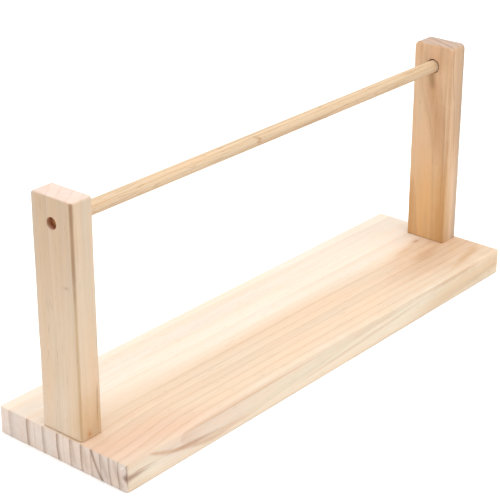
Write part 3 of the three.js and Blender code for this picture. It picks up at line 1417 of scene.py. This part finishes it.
@dataclass
class Dowel:
    """The loose rod, turned along its own length. Sizes are millimetres.

    Attributes:
        finish: Its wood.
        end_ease: The radius of its eased ends.
        end_steps: How many steps each of them is cut into.
        rings: How many rings of points it has.
        sides: How many sides it has.
        waver: How far its surface wavers.
        waver_cell: Over what length it does so along each axis.
    """

    finish: PineFinish
    end_ease: float = 0.6
    end_steps: int = 5
    rings: int = 150
    sides: int = 64
    waver: float = 0.05
    waver_cell: Triple = (28, 5, 5)

    def tree(self) -> Tree:
        """Builds the tree that turns a line into a dowel with eased ends.

        Returns:
            The tree.
        """
        takes = {"Start": "Vector", "Length": "Float", "Radius": "Float", "End Ease": "Float"}
        takes |= {name: "Int" for name in ("End Steps", "Rings", "Sides")}
        takes |= {"Waver": "Float", "Material": "Material"}
        sheet, given, result = new_tree("GeometryNodeTree", "turned_dowel", takes, {"Geometry": "Geometry"})
        line, thick = self.spine(sheet, given)
        ring = sheet.get("GeometryNodeCurvePrimitiveCircle", {"Resolution": given["Sides"], "Radius": 1.0})
        feeds = {"Curve": line, "Profile Curve": ring, "Scale": thick, "Fill Caps": True}
        solid = sheet.get("GeometryNodeCurveToMesh", feeds)
        point = sheet.vector("DIVIDE", sheet.add("GeometryNodeInputPosition").outputs[0], (MM, MM, MM))
        uneven = sheet.uneven(point, self.waver_cell, detail=1.0, seed=11.0)
        outward = sheet.vector("MULTIPLY", sheet.add("GeometryNodeInputNormal").outputs[0], (0, 1, 1))
        shift = sheet.vector("MULTIPLY", outward, sheet.math("MULTIPLY", uneven, given["Waver"]))
        solid = sheet.get("GeometryNodeSetPosition", {"Geometry": solid, "Offset": shift})
        sheet.deliver(solid, given["Material"], result["Geometry"])
        return sheet.tree

    def spine(self, sheet: Sheet, given: Any) -> tuple[Socket, Socket]:
        """Writes the line along the dowel, with its points close together in the eased ends.

        Args:
            sheet: The tree that is being written.
            given: The sockets that bring its inputs.

        Returns:
            The line, and how thick the dowel is at each of its points.
        """
        line = sheet.get("GeometryNodeCurvePrimitiveLine", {"Start": (0, 0, 0), "End": (1, 0, 0)})
        line = sheet.get("GeometryNodeResampleCurve", {"Curve": line, "Count": given["Rings"]})
        place = sheet.add("GeometryNodeInputIndex").outputs[0]
        last = sheet.math("SUBTRACT", given["Rings"], 1.0)
        head = sheet.math("MULTIPLY", sheet.math("DIVIDE", place, given["End Steps"], clamp=True), QUARTER)
        left = sheet.math("DIVIDE", sheet.math("SUBTRACT", last, place), given["End Steps"], clamp=True)
        tail = sheet.math("MULTIPLY", left, QUARTER)
        spare = sheet.math("MULTIPLY", given["End Steps"], 2.0)
        passed = sheet.math("SUBTRACT", place, given["End Steps"])
        middle = sheet.math("DIVIDE", passed, sheet.math("SUBTRACT", last, spare), clamp=True)
        straight = sheet.math("MULTIPLY_ADD", given["End Ease"], -2.0, given["Length"])
        along = sheet.math("MULTIPLY", middle, straight)
        ends = sheet.math("SUBTRACT", 1.0, sheet.math("COSINE", head))
        ends = sheet.math("ADD", ends, sheet.math("COSINE", tail))
        along = sheet.math("MULTIPLY_ADD", ends, given["End Ease"], along)
        cut = sheet.math("ADD", sheet.math("SINE", head), sheet.math("SINE", tail))
        cut = sheet.math("SUBTRACT", 2.0, cut)
        thick = sheet.math("SUBTRACT", given["Radius"], sheet.math("MULTIPLY", cut, given["End Ease"]))
        offset = sheet.get("ShaderNodeCombineXYZ", {0: along})
        spot = sheet.vector("ADD", given["Start"], offset)
        line = sheet.get("GeometryNodeSetPosition", {"Geometry": line, "Position": spot})
        return line, thick

    def build(self, effects: WoodEffects) -> bpy.types.Object:
        """Builds the dowel.

        Args:
            effects: The shared shader groups.

        Returns:
            The piece.
        """
        low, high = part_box("rod")
        middle = (low + high) / 2
        values = {
            "Start": (low.x, middle.y, middle.z),
            "Length": high.x - low.x,
            "Radius": (high.z - low.z) / 2,
            "End Ease": self.end_ease * MM,
            "End Steps": self.end_steps,
            "Rings": self.rings,
            "Sides": self.sides,
            "Waver": self.waver * MM,
            "Material": self.finish.make(effects),
        }
        return stand("turned_dowel", grow(self.tree(), values, "turned_dowel"), self.finish.grain)

    def dress(self, piece: bpy.types.Object) -> None:
        """Makes the dowel ride on the rod's body in place of its plain solid.

        Args:
            piece: The dowel.
        """
        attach(piece, "rod")
        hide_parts("rod")


@dataclass
class WoodScrews:
    """The four countersunk screws, driven up through the board. Sizes are millimetres.

    Attributes:
        finish: Their metal.
        length: Their length with the head.
        diameter: The diameter of the plain part of the shank, and over the thread.
        core: The diameter between the turns of the thread.
        head_diameter: The diameter of the head.
        head_rim: The height of its straight rim.
        thread_start: Where the thread begins, from the face of the head.
        pitch: The distance between two turns.
        tip_length: The length of the point.
        tip_curve: How the point narrows: 1 is a cone, and less is rounder.
        crest_width: The share of a turn that the crest of the thread takes.
        rows: How many rows of points a screw has.
        sides: How many sides it has.
        recess_radius: How far the cross in the head reaches.
        recess_depth: How deep it is.
        recess_taper: The share of its width that is left at its bottom.
        recess_slimness: How slim each wing of the cross is.
        recess_lead: How far the cutter stands out of the head.
        weld: The distance at which points are made one.
        seed: A number that sets how far each screw is turned.
    """

    finish: ZincFinish
    length: float = 40.0
    diameter: float = 4.0
    core: float = 2.7
    head_diameter: float = 8.0
    head_rim: float = 0.4
    thread_start: float = 12.0
    pitch: float = 1.8
    tip_length: float = 6.0
    tip_curve: float = 0.8
    crest_width: float = 0.6
    rows: int = 190
    sides: int = 28
    recess_radius: float = 2.3
    recess_depth: float = 2.2
    recess_taper: float = 0.35
    recess_slimness: float = 0.3
    recess_lead: float = 0.01
    weld: float = 0.002
    seed: int = 7

    def lengths(self) -> dict[str, float]:
        """Gives the lengths that the tree takes.

        Returns:
            The lengths in metres, by the names of the tree's inputs.
        """
        lengths = {
            "Length": self.length,
            "Radius": self.diameter / 2,
            "Core Radius": self.core / 2,
            "Head Radius": self.head_diameter / 2,
            "Head Rim": self.head_rim,
            "Thread Start": self.thread_start,
            "Pitch": self.pitch,
            "Tip Length": self.tip_length,
            "Recess Radius": self.recess_radius,
            "Recess Depth": self.recess_depth,
        }
        return {name: length * MM for name, length in lengths.items()}

    def tree(self) -> Tree:
        """Builds the tree for a threaded screw with a cross recess, set at each corner of a grid.

        Returns:
            The tree.
        """
        takes = {name: "Float" for name in self.lengths()} | {"Rows": "Int", "Sides": "Int"}
        takes |= {"Spread": "Vector", "Head Height": "Float", "Seed": "Int", "Material": "Material"}
        sheet, given, result = new_tree("GeometryNodeTree", "wood_screws", takes, {"Geometry": "Geometry"})
        screw = self.shank(sheet, given)
        screw = self.cut_cross(sheet, given, screw)
        sheet.deliver(self.set_out(sheet, given, screw), given["Material"], result["Geometry"])
        return sheet.tree

    def shank(self, sheet: Sheet, given: Any) -> Socket:
        """Writes one screw as a grid that is wrapped round its axis, from the head up to the point.

        Args:
            sheet: The tree that is being written.
            given: The sockets that bring its inputs.

        Returns:
            The screw.
        """
        around = sheet.math("ADD", given["Sides"], 1.0)
        feeds = {"Size X": 1.0, "Size Y": 1.0, "Vertices X": given["Rows"], "Vertices Y": around}
        grid = sheet.get("GeometryNodeMeshGrid", feeds)
        spot = sheet.add("GeometryNodeInputPosition").outputs[0]
        spot = sheet.run("ShaderNodeSeparateXYZ", {0: spot}).outputs
        last = sheet.math("SUBTRACT", given["Rows"], 1.0)
        row = sheet.math("ROUND", sheet.math("MULTIPLY", sheet.math("ADD", spot[0], 0.5), last))
        turn = sheet.math("ADD", spot[1], 0.5)
        rim = sheet.math("MULTIPLY", sheet.math("SUBTRACT", row, 1.0, clamp=True), given["Head Rim"])
        share = sheet.math("SUBTRACT", row, 2.0)
        share = sheet.math("DIVIDE", share, sheet.math("SUBTRACT", last, 2.0), clamp=True)
        z = sheet.math("MULTIPLY_ADD", share, sheet.math("SUBTRACT", given["Length"], given["Head Rim"]), rim)
        cone = sheet.math("SUBTRACT", given["Head Radius"], sheet.math("SUBTRACT", z, given["Head Rim"]))
        threaded = sheet.math("GREATER_THAN", z, given["Thread Start"])
        neck = sheet.math("SUBTRACT", given["Radius"], given["Core Radius"])
        plain = sheet.math("SUBTRACT", given["Radius"], sheet.math("MULTIPLY", neck, threaded))
        to_tip = sheet.math("SUBTRACT", given["Length"], z)
        to_tip = sheet.math("DIVIDE", to_tip, given["Tip Length"], clamp=True)
        taper = sheet.math("POWER", to_tip, self.tip_curve)
        winding = sheet.math("FRACT", sheet.math("SUBTRACT", sheet.math("DIVIDE", z, given["Pitch"]), turn))
        away = sheet.math("ABSOLUTE", sheet.math("MULTIPLY_ADD", winding, 2.0, -1.0))
        crest = sheet.math("MULTIPLY", sheet.ramp(away, 0.0, self.crest_width, 1.0, 0.0), threaded)
        shank = sheet.math("MULTIPLY", sheet.math("MULTIPLY_ADD", crest, neck, plain), taper)
        radius = sheet.math("MAXIMUM", cone, shank)
        inside = sheet.math("GREATER_THAN", row, 0.5)
        before_last = sheet.math("LESS_THAN", row, sheet.math("SUBTRACT", last, 0.5))
        inside = sheet.math("MULTIPLY", inside, before_last)
        radius = sheet.math("MULTIPLY", radius, inside)
        angle = sheet.math("MULTIPLY", turn, TURN)
        x = sheet.math("MULTIPLY", radius, sheet.math("COSINE", angle))
        y = sheet.math("MULTIPLY", radius, sheet.math("SINE", angle))
        wrapped = sheet.get("ShaderNodeCombineXYZ", {0: x, 1: y, 2: z})
        screw = sheet.get("GeometryNodeSetPosition", {"Geometry": grid, "Position": wrapped})
        screw = sheet.get("GeometryNodeMergeByDistance", {"Geometry": screw, "Distance": self.weld * MM})
        return sheet.get("GeometryNodeFlipFaces", {0: screw})

    def cut_cross(self, sheet: Sheet, given: Any, screw: Plug) -> Socket:
        """Cuts the cross recess into the head, with two slim wings at right angles.

        Args:
            sheet: The tree that is being written.
            given: The sockets that bring its inputs.
            screw: The screw.

        Returns:
            The screw with its recess.
        """
        narrow = sheet.math("MULTIPLY", given["Recess Radius"], self.recess_taper)
        feeds = {"Vertices": 4, "Radius Top": narrow}
        feeds |= {"Radius Bottom": given["Recess Radius"], "Depth": given["Recess Depth"]}
        wing = sheet.get("GeometryNodeMeshCone", feeds)
        wings = sheet.add("GeometryNodeJoinGeometry")
        for rotation in (0.0, QUARTER):
            feeds = {"Geometry": wing, "Scale": (1, self.recess_slimness, 1)}
            slim = sheet.get("GeometryNodeTransform", feeds)
            lead = (0, 0, -self.recess_lead * MM)
            feeds = {"Geometry": slim, "Translation": lead, "Rotation": (0, 0, rotation)}
            sheet.feed(wings.inputs[0], sheet.get("GeometryNodeTransform", feeds))
        cut = sheet.add("GeometryNodeMeshBoolean", operation="DIFFERENCE", solver="EXACT")
        sheet.feed(cut.inputs["Mesh 1"], screw)
        sheet.feed(cut.inputs["Mesh 2"], wings.outputs[0])
        sheet.feed(cut.inputs["Self Intersection"], True)
        return cut.outputs[0]

    def set_out(self, sheet: Sheet, given: Any, screw: Plug) -> Socket:
        """Sets a screw at each corner of a grid, each turned by chance.

        Args:
            sheet: The tree that is being written.
            given: The sockets that bring its inputs.
            screw: The screw.

        Returns:
            The four screws.
        """
        size = sheet.run("ShaderNodeSeparateXYZ", {0: given["Spread"]}).outputs
        feeds = {"Size X": size[0], "Size Y": size[1], "Vertices X": 2, "Vertices Y": 2}
        corners = sheet.get("GeometryNodeMeshGrid", feeds)
        lift = sheet.get("ShaderNodeCombineXYZ", {2: given["Head Height"]})
        corners = sheet.get("GeometryNodeTransform", {"Geometry": corners, "Translation": lift})
        chance = sheet.add("FunctionNodeRandomValue", data_type="FLOAT")
        for index, value in ((2, 0.0), (3, TURN), (8, given["Seed"])):
            sheet.feed(chance.inputs[index], value)
        driven = sheet.get("ShaderNodeCombineXYZ", {2: chance.outputs[1]})
        feeds = {"Points": corners, "Instance": screw, "Rotation": driven}
        return sheet.get("GeometryNodeInstanceOnPoints", feeds)

    def build(self) -> bpy.types.Object:
        """Builds the four screws as one piece.

        Returns:
            The piece.
        """
        across, deep = (max(values) - min(values) for values in zip(*screw_places()))
        values = self.lengths() | {
            "Rows": self.rows,
            "Sides": self.sides,
            "Spread": (across * MM, deep * MM, 0.0),
            "Head Height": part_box(SCREW_NODES[0])[0].z,
            "Seed": self.seed,
            "Material": self.finish.make(),
        }
        mesh = grow(self.tree(), values, "threaded_screws")
        work = bmesh.new()
        work.from_mesh(mesh)
        bmesh.ops.recalc_face_normals(work, faces=work.faces)
        work.to_mesh(mesh)
        work.free()
        mesh.shade_smooth()
        mesh.set_sharp_from_angle(angle=STEEL_CREASE)
        return show("threaded_screws", mesh)

    def dress(self, piece: bpy.types.Object) -> None:
        """Makes the screws ride on the frame in place of their plain solids.

        Args:
            piece: The screws.
        """
        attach(piece, "frame")
        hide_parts(*SCREW_NODES)


@dataclass
class Studio:
    """The floor, the light and the camera.

    Lengths are metres, but the lens and its sensor are millimetres. The tilt is in degrees.
    """

    eye: Triple = (-0.69036, -0.56296, 0.46521)
    tilt: Triple = (65.796, 0.0, -49.854)
    lens: float = 114.63
    sensor: float = 36.0
    clip: Pair = (0.01, 50.0)
    floor_size: float = 14.0
    floor_colour: Colour = (0.96, 0.96, 0.96, 1.0)
    floor_roughness: float = 0.9
    sky: float = 1.08
    key_place: Triple = (0.1, -0.45, 2.05)
    key_size: float = 1.6
    key_power: float = 26.0

    def build(self) -> None:
        """Sets up the whole studio."""
        self.build_floor()
        self.build_light()
        self.build_camera()

    def build_floor(self) -> None:
        """Lays the pale floor at the height of the board's underside."""
        half = self.floor_size / 2
        mesh = bpy.data.meshes.new("studio_floor")
        corners = [(-half, -half, 0), (half, -half, 0), (half, half, 0), (-half, half, 0)]
        mesh.from_pydata(corners, [], [(0, 1, 2, 3)])
        material = bpy.data.materials.new("pale_floor")
        material.use_nodes = True
        shader = material.node_tree.nodes["Principled BSDF"]
        shader.inputs["Base Color"].default_value = self.floor_colour
        shader.inputs["Roughness"].default_value = self.floor_roughness
        shader.inputs["Specular IOR Level"].default_value = 0.0
        mesh.materials.append(material)
        floor = show("studio_floor", mesh)

    def build_light(self) -> None:
        """Fills the room with even light and adds one broad lamp above the rack, a little to the front."""
        world = bpy.data.worlds.new("soft_room")
        world.use_nodes = True
        background = world.node_tree.nodes["Background"]
        background.inputs["Color"].default_value = (1.0, 1.0, 1.0, 1.0)
        background.inputs["Strength"].default_value = self.sky
        bpy.context.scene.world = world
        lamp = bpy.data.lights.new("soft_box", "AREA")
        lamp.shape = "SQUARE"
        lamp.size = self.key_size
        lamp.energy = self.key_power
        holder = show("soft_box", lamp)
        holder.location = self.key_place
        holder.rotation_euler = (-Vector(self.key_place)).to_track_quat("-Z", "Y").to_euler()
        bpy.context.scene.view_settings.view_transform = "Standard"

    def build_camera(self) -> None:
        """Places the camera at the photograph's angle."""
        lens = bpy.data.cameras.new("photo_camera")
        lens.lens = self.lens
        lens.sensor_width = self.sensor
        lens.clip_start, lens.clip_end = self.clip
        camera = show("photo_camera", lens)
        camera.location = self.eye
        camera.rotation_euler = [math.radians(angle) for angle in self.tilt]
        bpy.context.scene.camera = camera


def on_end_grain(*marks: Streak) -> tuple[Streak, ...]:
    """Returns the same marks, laid on end grain instead of side grain."""
    return tuple(replace(mark, at_end=True) for mark in marks)


def dashes(
    x: float, places: Iterable[Triple], colour: Rgb, widths: Pair = (0.45, 0.35), depth: float = 0.55
) -> tuple[Streak, ...]:
    """Gives short upright grain marks on a face of a post.

    Args:
        x: Where the face is.
        places: Y, the upper Z and the lower Z of each mark.
        colour: Their colour.
        widths: Their width at the top and at the foot.
        depth: How strongly they show.

    Returns:
        The marks.
    """
    return tuple(Streak((x, y, top), (x, y, foot), widths, colour, depth) for y, top, foot in places)


BOARD_PINE = PineFinish(
    name="board_pine_sanded",
    grain=Grain.LENGTHWISE,
    pith=(0.0, -96.0, 25.0),
    lean=(0.0, 0.0, 0.06),
    spacing=6.0,
    even_to=80.0,
    growth=0.17,
    phase=-0.12,
    seed=2.3,
    early_sap=(219, 204, 188),
    late_sap=(209, 189, 166),
    early_heart=(208, 186, 162),
    late_heart=(186, 156, 125),
    end_early=(208, 193, 182),
    end_late=(158, 136, 118),
    wander=1.3,
    late_share=0.55,
    contrast=0.42,
    heart_radius=100.0,
    line_depth=0.22,
    marks=(
        # The rings bend round the near front corner.
        Knot((-190, -50, 10), 7.0, (0.55, 0.55, 0.55), depth=0.0),
        # The front edge as a whole, and the fields of the top.
        StainAndShade((-200, -53, 7.5), (200, -53, 7.5), (16, 16), (213, 203, 184), 0.9, (0.02, 0.02)),
        StainAndShade((-168, -50, 9), (-56, -50, 12), (13, 13), (206, 177, 156), 0.8, (0.3, 0.4)),
        Streak((-190, 2, 17), (-30, 4, 17), (17, 5), (212, 192, 169), 0.65, (0.05, 0.6)),
        StainAndShade((-190, -32, 17), (-95, -40, 17), (32, 20), (202, 168, 145), 0.7, (0.05, 0.5)),
        StainAndShade((70, -28, 17), (190, -22, 17), (24, 40), (193, 160, 130), 0.75, (0.6, 0.03)),
        StainAndShade((124, -46, 17), (184, -34, 17), (4.2, 5.5), (188, 150, 106), 0.55, (0.5, 0.2)),
        StainAndShade((120, -20, 17), (174, -12, 17), (7.0, 7.0), (190, 153, 117), 0.5, (0.4, 0.5)),
        StainAndShade((118, -4, 17), (163, 0.5, 17), (3.4, 5.0), (192, 157, 121), 0.55, (0.5, 0.5)),
        StainAndShade((150, -30, 17), (183, -20, 17), (5.0, 5.0), (214, 186, 150), 0.5, (0.4, 0.5)),
        Knot((157.5, 1.4, 17), 1.5, (0.4, 0.9, 0.2), (170, 128, 94), 0.7),
        # The lines of the front edge.
        Streak((-186, -50, 9), (-155, -50, 8.6), (3.4, 1.0), (146, 114, 94), 0.9, (0.02, 0.9)),
        Streak((-180, -50, 11), (-154, -50, 9.6), (0.8, 0.7), (170, 136, 110), 0.7),
        Streak(
            (-168, -50, 17.5), (-92, -50, 2.6), (2.0, 2.6), (184, 148, 120), 0.85, (0.1, 0.4),
            bow=(0, 0, -4.2),
        ),
        Streak(
            (-160, -50, 11.2), (-100, -50, 6.2), (2.2, 2.0), (168, 132, 104), 0.8, (0.4, 0.5),
            bow=(0, 0, -0.8),
        ),
        Streak((-130, -50, 6.6), (-70, -50, 3.4), (2.0, 1.6), (194, 162, 136), 0.6, (0.4, 0.5)),
        Streak((-150, -50, 16.6), (10, -50, 16.2), (1.5, 1.2), (188, 154, 126), 0.7, (0.2, 0.5)),
        Streak(
            (-70, -50, 4.4), (150, -50, 16.2), (1.6, 1.8), (194, 164, 134), 0.55, (0.3, 0.5),
            bow=(0, 0, -0.8),
        ),
        Streak((86, -50, 15.2), (172, -50, 16.4), (2.0, 2.6), (182, 148, 114), 0.6, (0.4, 0.4)),
        StainAndShade((60, -50, 5), (188, -50, 9), (9.0, 12.0), (188, 155, 120), 0.7, (0.5, 0.02)),
        # The near end.
        *on_end_grain(
            Streak(
                (-183, -23, 17.5), (-183, -31.6, 0), (1.9, 1.7), (132, 108, 88), 0.85, (0.02, 0.02),
                bow=(0, 1.0, 0),
            ),
            StainAndShade(
                (-183, -16, 17.5), (-183, -21, 0), (3.4, 3.4), (180, 160, 145), 0.5, (0.02, 0.3),
                bow=(0, 0.6, 0), wobble=1.6,
            ),
            StainAndShade(
                (-183, -8, 17.5), (-183, -11, 0), (3.2, 2.6), (172, 150, 134), 0.5, (0.02, 0.3),
                bow=(0, 0.4, 0), wobble=1.6,
            ),
            StainAndShade(
                (-183, -30, 17.5), (-183, -37, 0), (3.0, 3.0), (176, 156, 142), 0.5, (0.02, 0.3),
                bow=(0, 0.8, 0), wobble=1.8,
            ),
            StainAndShade(
                (-183, -40, 17.5), (-183, -47.5, 0), (2.6, 2.2), (170, 148, 132), 0.5, (0.02, 0.2),
                bow=(0, 1.0, 0), wobble=1.6,
            ),
            Streak((-183, -52, 9.4), (-183, -45, 8), (5.0, 2.0), (120, 88, 66), 0.9, (0.01, 0.6)),
            Streak(
                (-183, -47.8, 15.6), (-183, -45, 13), (1.0, 0.8), (228, 220, 212), 0.8, (0.2, 0.2),
                wobble=2.0,
            ),
            Streak(
                (-183, -49.8, 16.6), (-183, -48, 14.4), (1.0, 0.7), (96, 76, 62), 0.8, (0.1, 0.2), wobble=2.0
            ),
        ),
        # The back edge.
        Streak((-150, 50, 4), (60, 50, 12.5), (1.5, 1.3), (192, 166, 138), 0.5, bow=(0, 0, 1.2)),
        Streak((20, 50, 13.5), (170, 50, 8), (1.2, 2.0), (190, 160, 130), 0.55, bow=(0, 0, -1.5)),
        Knot((88, 50, 6.4), 1.7, (0.45, 1.0, 1.0), (168, 122, 82), 0.7),
        *on_end_grain(
            StainAndShade((-183, -52, 8), (-183, -4, 8), (16, 14), (196, 178, 165), 0.75, (0.02, 0.6), wobble=0.5),
        ),
    ),
)

NEAR_POST_PINE = PineFinish(
    name="post_pine_near",
    grain=Grain.UPRIGHT,
    pith=(0.0, 60.0, 215.0),
    lean=(0.0, 0.01, 0.02),
    spacing=5.0,
    growth=0.02,
    phase=0.77,
    seed=5.1,
    early_sap=(201, 178, 152),
    late_sap=(184, 154, 122),
    end_early=(207, 186, 173),
    end_late=(200, 177, 162),
    contrast=0.22,
    line_depth=0.3,
    marks=(
        # The front and the outer face from the top down. On the outer face this is painted shade at the top
        # and painted bounce light from the floor towards the foot.
        StainAndShade((-173, -15, 162), (-173, -15, 50), (15, 15), (192, 177, 157), 0.7, (0.01, 0.6)),
        StainAndShade((-181.5, 0, 170), (-181.5, 0, 62), (34, 28), (182, 156, 130), 0.6, (0.01, 0.8)),
        StainAndShade((-181.5, 0, 60), (-181.5, 0, 12), (20, 28), (208, 187, 164), 0.6, (0.6, 0.02)),
        # Painted shade along the joint with the board.
        Streak(
            (-181.6, -16, 17), (-181.6, 16, 17), (1.0, 1.0), (140, 108, 76), 0.75, (0.01, 0.01), wobble=1.4
        ),
        Streak(
            (-182, -15.1, 17), (-166, -15.1, 17), (0.7, 0.7), (150, 112, 70), 0.6, (0.01, 0.01), wobble=1.4
        ),
        # The two long edges of the outer face, and the front's lines and foot.
        StainAndShade((-181.5, 15.8, 158), (-181.5, 15.8, 16), (5.6, 5.6), (195, 179, 161), 0.7, (0.01, 0.01)),
        StainAndShade(
            (-181.2, -14.7, 160), (-181.2, -14.7, 84), (2.2, 1.9), (146, 112, 80), 0.95, (0.01, 0.5),
            wobble=0.3,
        ),
        StainAndShade(
            (-181.2, -14.7, 112), (-181.2, -14.7, 15), (2.0, 1.2), (172, 144, 106), 0.75, (0.1, 0.05),
            wobble=0.3,
        ),
        Streak((-178.4, -15, 150), (-178.2, -15, 112), (0.7, 0.7), (176, 146, 114), 0.5),
        Streak((-168.3, -15, 52), (-169.5, -15, 18), (0.8, 1.3), (164, 132, 98), 0.7),
        # The front's foot, warmer: partly the wood's own tone, partly painted warm bounce light from the
        # board.
        StainAndShade((-186, -27, 26), (-162, -27, 26), (29, 29), (188, 152, 106), 0.95, (0.02, 0.02)),
        # Small knots and short marks.
        Knot((-175.4, -15, 19.9), 1.0, (0.9, 0.3, 0.6), (178, 118, 68), 0.75),
        Knot((-181.5, -8.9, 107.7), 0.7, (0.3, 0.5, 1.2), (146, 128, 108), 0.6),
        *dashes(
            -181.5, ((6.7, 99, 89), (4.6, 98, 91), (3, 96, 90), (6.7, 83, 74), (7.6, 67, 59)), (158, 136, 112)
        ),
        *dashes(-181.5, ((0.6, 69, 61), (2.8, 38, 30), (-2.5, 132, 121), (7.2, 135, 128)), (164, 142, 118)),
    ),
)

FAR_POST_PINE = PineFinish(
    name="post_pine_far",
    grain=Grain.UPRIGHT,
    pith=(0.0, 12.7, -131.9),
    lean=(0.0, 0.0, 0.015),
    spacing=4.3,
    growth=0.01,
    phase=0.21,
    seed=7.7,
    early_sap=(204, 171, 137),
    late_sap=(176, 138, 102),
    end_early=(176, 153, 136),
    end_late=(141, 118, 99),
    contrast=0.35,
    line_depth=0.4,
    marks=(
        # The rings bend round the bore. Then come the fields of the inner face, with painted warm bounce
        # light towards the foot and a painted shadow under the dowel.
        Knot((166, 0, 141), 3.4, (0.3, 0.8, 0.35), depth=0.0),
        StainAndShade((166, 0, 160), (166, 0, 138), (17, 14), (198, 157, 121), 0.65, (0.02, 0.5)),
        # The lower half, warmer: partly the wood's own tone, partly painted warm bounce light from the board.
        StainAndShade((166, 0, 100), (166, 0, 0), (24, 32), (210, 165, 111), 0.85, (0.6, 0.02)),
        StainAndShade((166, 3, 144), (166, -13, 56), (8.5, 13), (184, 142, 103), 0.8, (0.2, 0.5), bow=(0, -1, 0)),
        # Two strips at the sides, warmer towards the foot: partly the wood's own tone, partly painted warm
        # bounce light from the board.
        StainAndShade((166, -12, 100), (166, -12, 10), (7.0, 10), (184, 139, 86), 0.7, (0.5, 0.02)),
        StainAndShade((166, 15, 78), (166, 14, 10), (4.0, 7.0), (190, 146, 92), 0.65, (0.5, 0.02)),
        # Painted shadow of the dowel, just under the bore.
        StainAndShade((166, 1, 140), (166, -2, 122), (5.0, 3.6), (154, 122, 84), 0.7, (0.2, 0.5)),
        # The top.
        *on_end_grain(
            Streak((180.6, 13.8, 157), (167, -14, 157), (0.9, 1.0), (132, 108, 88), 0.7, (0.02, 0.02)),
        ),
        # The front face, and the lines of the inner face and of the edge between the two.
        StainAndShade((174, -15, 160), (174, -15, 50), (16, 16), (177, 143, 112), 0.75, (0.01, 0.55)),
        Streak((166, -10.6, 138), (166, -11.6, 30), (0.8, 0.8), (176, 138, 100), 0.5),
        Streak((166, -12.6, 150), (166, -13.2, 40), (0.7, 0.9), (216, 186, 154), 0.5),
        Streak((166.6, -14.8, 152), (166.6, -14.8, 30), (0.8, 0.8), (172, 134, 96), 0.55, (0.05, 0.5)),
        Streak((169.6, -15, 156), (169.2, -15, 30), (1.1, 1.3), (206, 176, 144), 0.5, (0.05, 0.5)),
        StainAndShade((176, -15, 88), (176, -15, 4), (15, 15), (199, 174, 151), 0.9, (0.6, 0.01)),
        # The outer face.
        Streak((181.5, 9, 150), (181.5, 3, 70), (2.0, 2.4), (172, 138, 104), 0.5, bow=(0, -1.5, 0)),
        Knot((181.5, -6.2, 52), 1.4, (1.0, 1.0, 0.5), (150, 104, 64), 0.7),
        # Painted shade along the joint with the board, and the lines of the front face.
        Streak((166, -16, 17), (166, 16, 17), (0.9, 0.9), (140, 100, 62), 0.7, (0.01, 0.01), wobble=1.4),
        Streak(
            (168, -15, 157), (171.5, -15, 118), (1.0, 1.0), (144, 112, 82), 0.6, (0.02, 0.1), bow=(-1, 0, 0)
        ),
        Streak((171.5, -15, 122), (174.5, -15, 66), (1.0, 0.9), (146, 114, 84), 0.5),
        StainAndShade((180.5, -15, 160), (178.5, -15, 14), (4.0, 4.0), (172, 148, 124), 0.6, (0.01, 0.01)),
    ),
)

ROD_PINE = PineFinish(
    name="rod_pine_turned",
    grain=Grain.LENGTHWISE,
    pith=(0.0, 20.0, 150.0),
    lean=(0.0, 0.0, 0.02),
    spacing=2.2,
    growth=0.01,
    phase=0.85,
    seed=9.4,
    early_sap=(198, 174, 144),
    late_sap=(174, 140, 103),
    end_early=(190, 158, 124),
    end_late=(158, 120, 84),
    wander=1.0,
    contrast=0.6,
    fleck_level=0.6,
    fleck_depth=0.45,
    line_depth=0.8,
    marks=(
        # The right half, and painted shade on the left end, which lies deep in the near post's bore.
        StainAndShade((40, 0, 142), (185, 0, 142), (16, 16), (193, 166, 134), 0.7, (0.6, 0.01)),
        *on_end_grain(
            Streak((-178, -6, 142), (-178, 6, 142), (14, 14), (168, 112, 68), 0.95, (0.01, 0.01), wobble=0.4),
        ),
        # The lower side, and a knot in the middle.
        StainAndShade((5, -3.6, 140.4), (100, -3.6, 140.8), (2.4, 2.4), (188, 160, 130), 0.5, (0.3, 0.5)),
        StainAndShade((-160, -3.4, 140), (-95, -3.4, 140.6), (2.4, 2.0), (184, 158, 132), 0.45, (0.2, 0.5)),
        Streak(
            (-23.8, -1.8, 145.8), (-17.8, -4.2, 141.6), (1.5, 2.1), (148, 104, 64), 0.8, (0.3, 0.3),
            bow=(1.0, 0, 0),
        ),
        Streak((-20.5, -3.4, 144.2), (-15.5, -4.1, 142.6), (1.1, 1.1), (164, 122, 82), 0.6, (0.3, 0.4)),
        Streak((-22.5, -4.1, 142.6), (-16.5, -4.1, 141.0), (1.1, 0.9), (158, 114, 74), 0.6, (0.3, 0.4)),
    ),
)


def main() -> None:
    """Builds the rack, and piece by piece."""
    logging.basicConfig(level=logging.INFO, format="%(message)s")
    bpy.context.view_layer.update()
    Studio().build()
    effects = WoodEffects()
    screws = WoodScrews(ZincFinish())
    made = screws.build()
    screws.dress(made)
    LOG.info("%s: %d faces", made.name, len(made.data.polygons))
    parts = (
        BaseBoard(BOARD_PINE),
        Post(Side.LEFT, NEAR_POST_PINE, (SandedEdge(1.3, 0.2, 0.5), SandedEdge()), top_radius=1.8),
        Post(Side.RIGHT, FAR_POST_PINE, (SandedEdge(), SandedEdge()), top_radius=3.6),
        Dowel(ROD_PINE),
    )
    for part in parts:
        made = part.build(effects)
        part.dress(made)
        LOG.info("%s: %d faces", made.name, len(made.data.polygons))


if __name__ == "__main__":
    main()
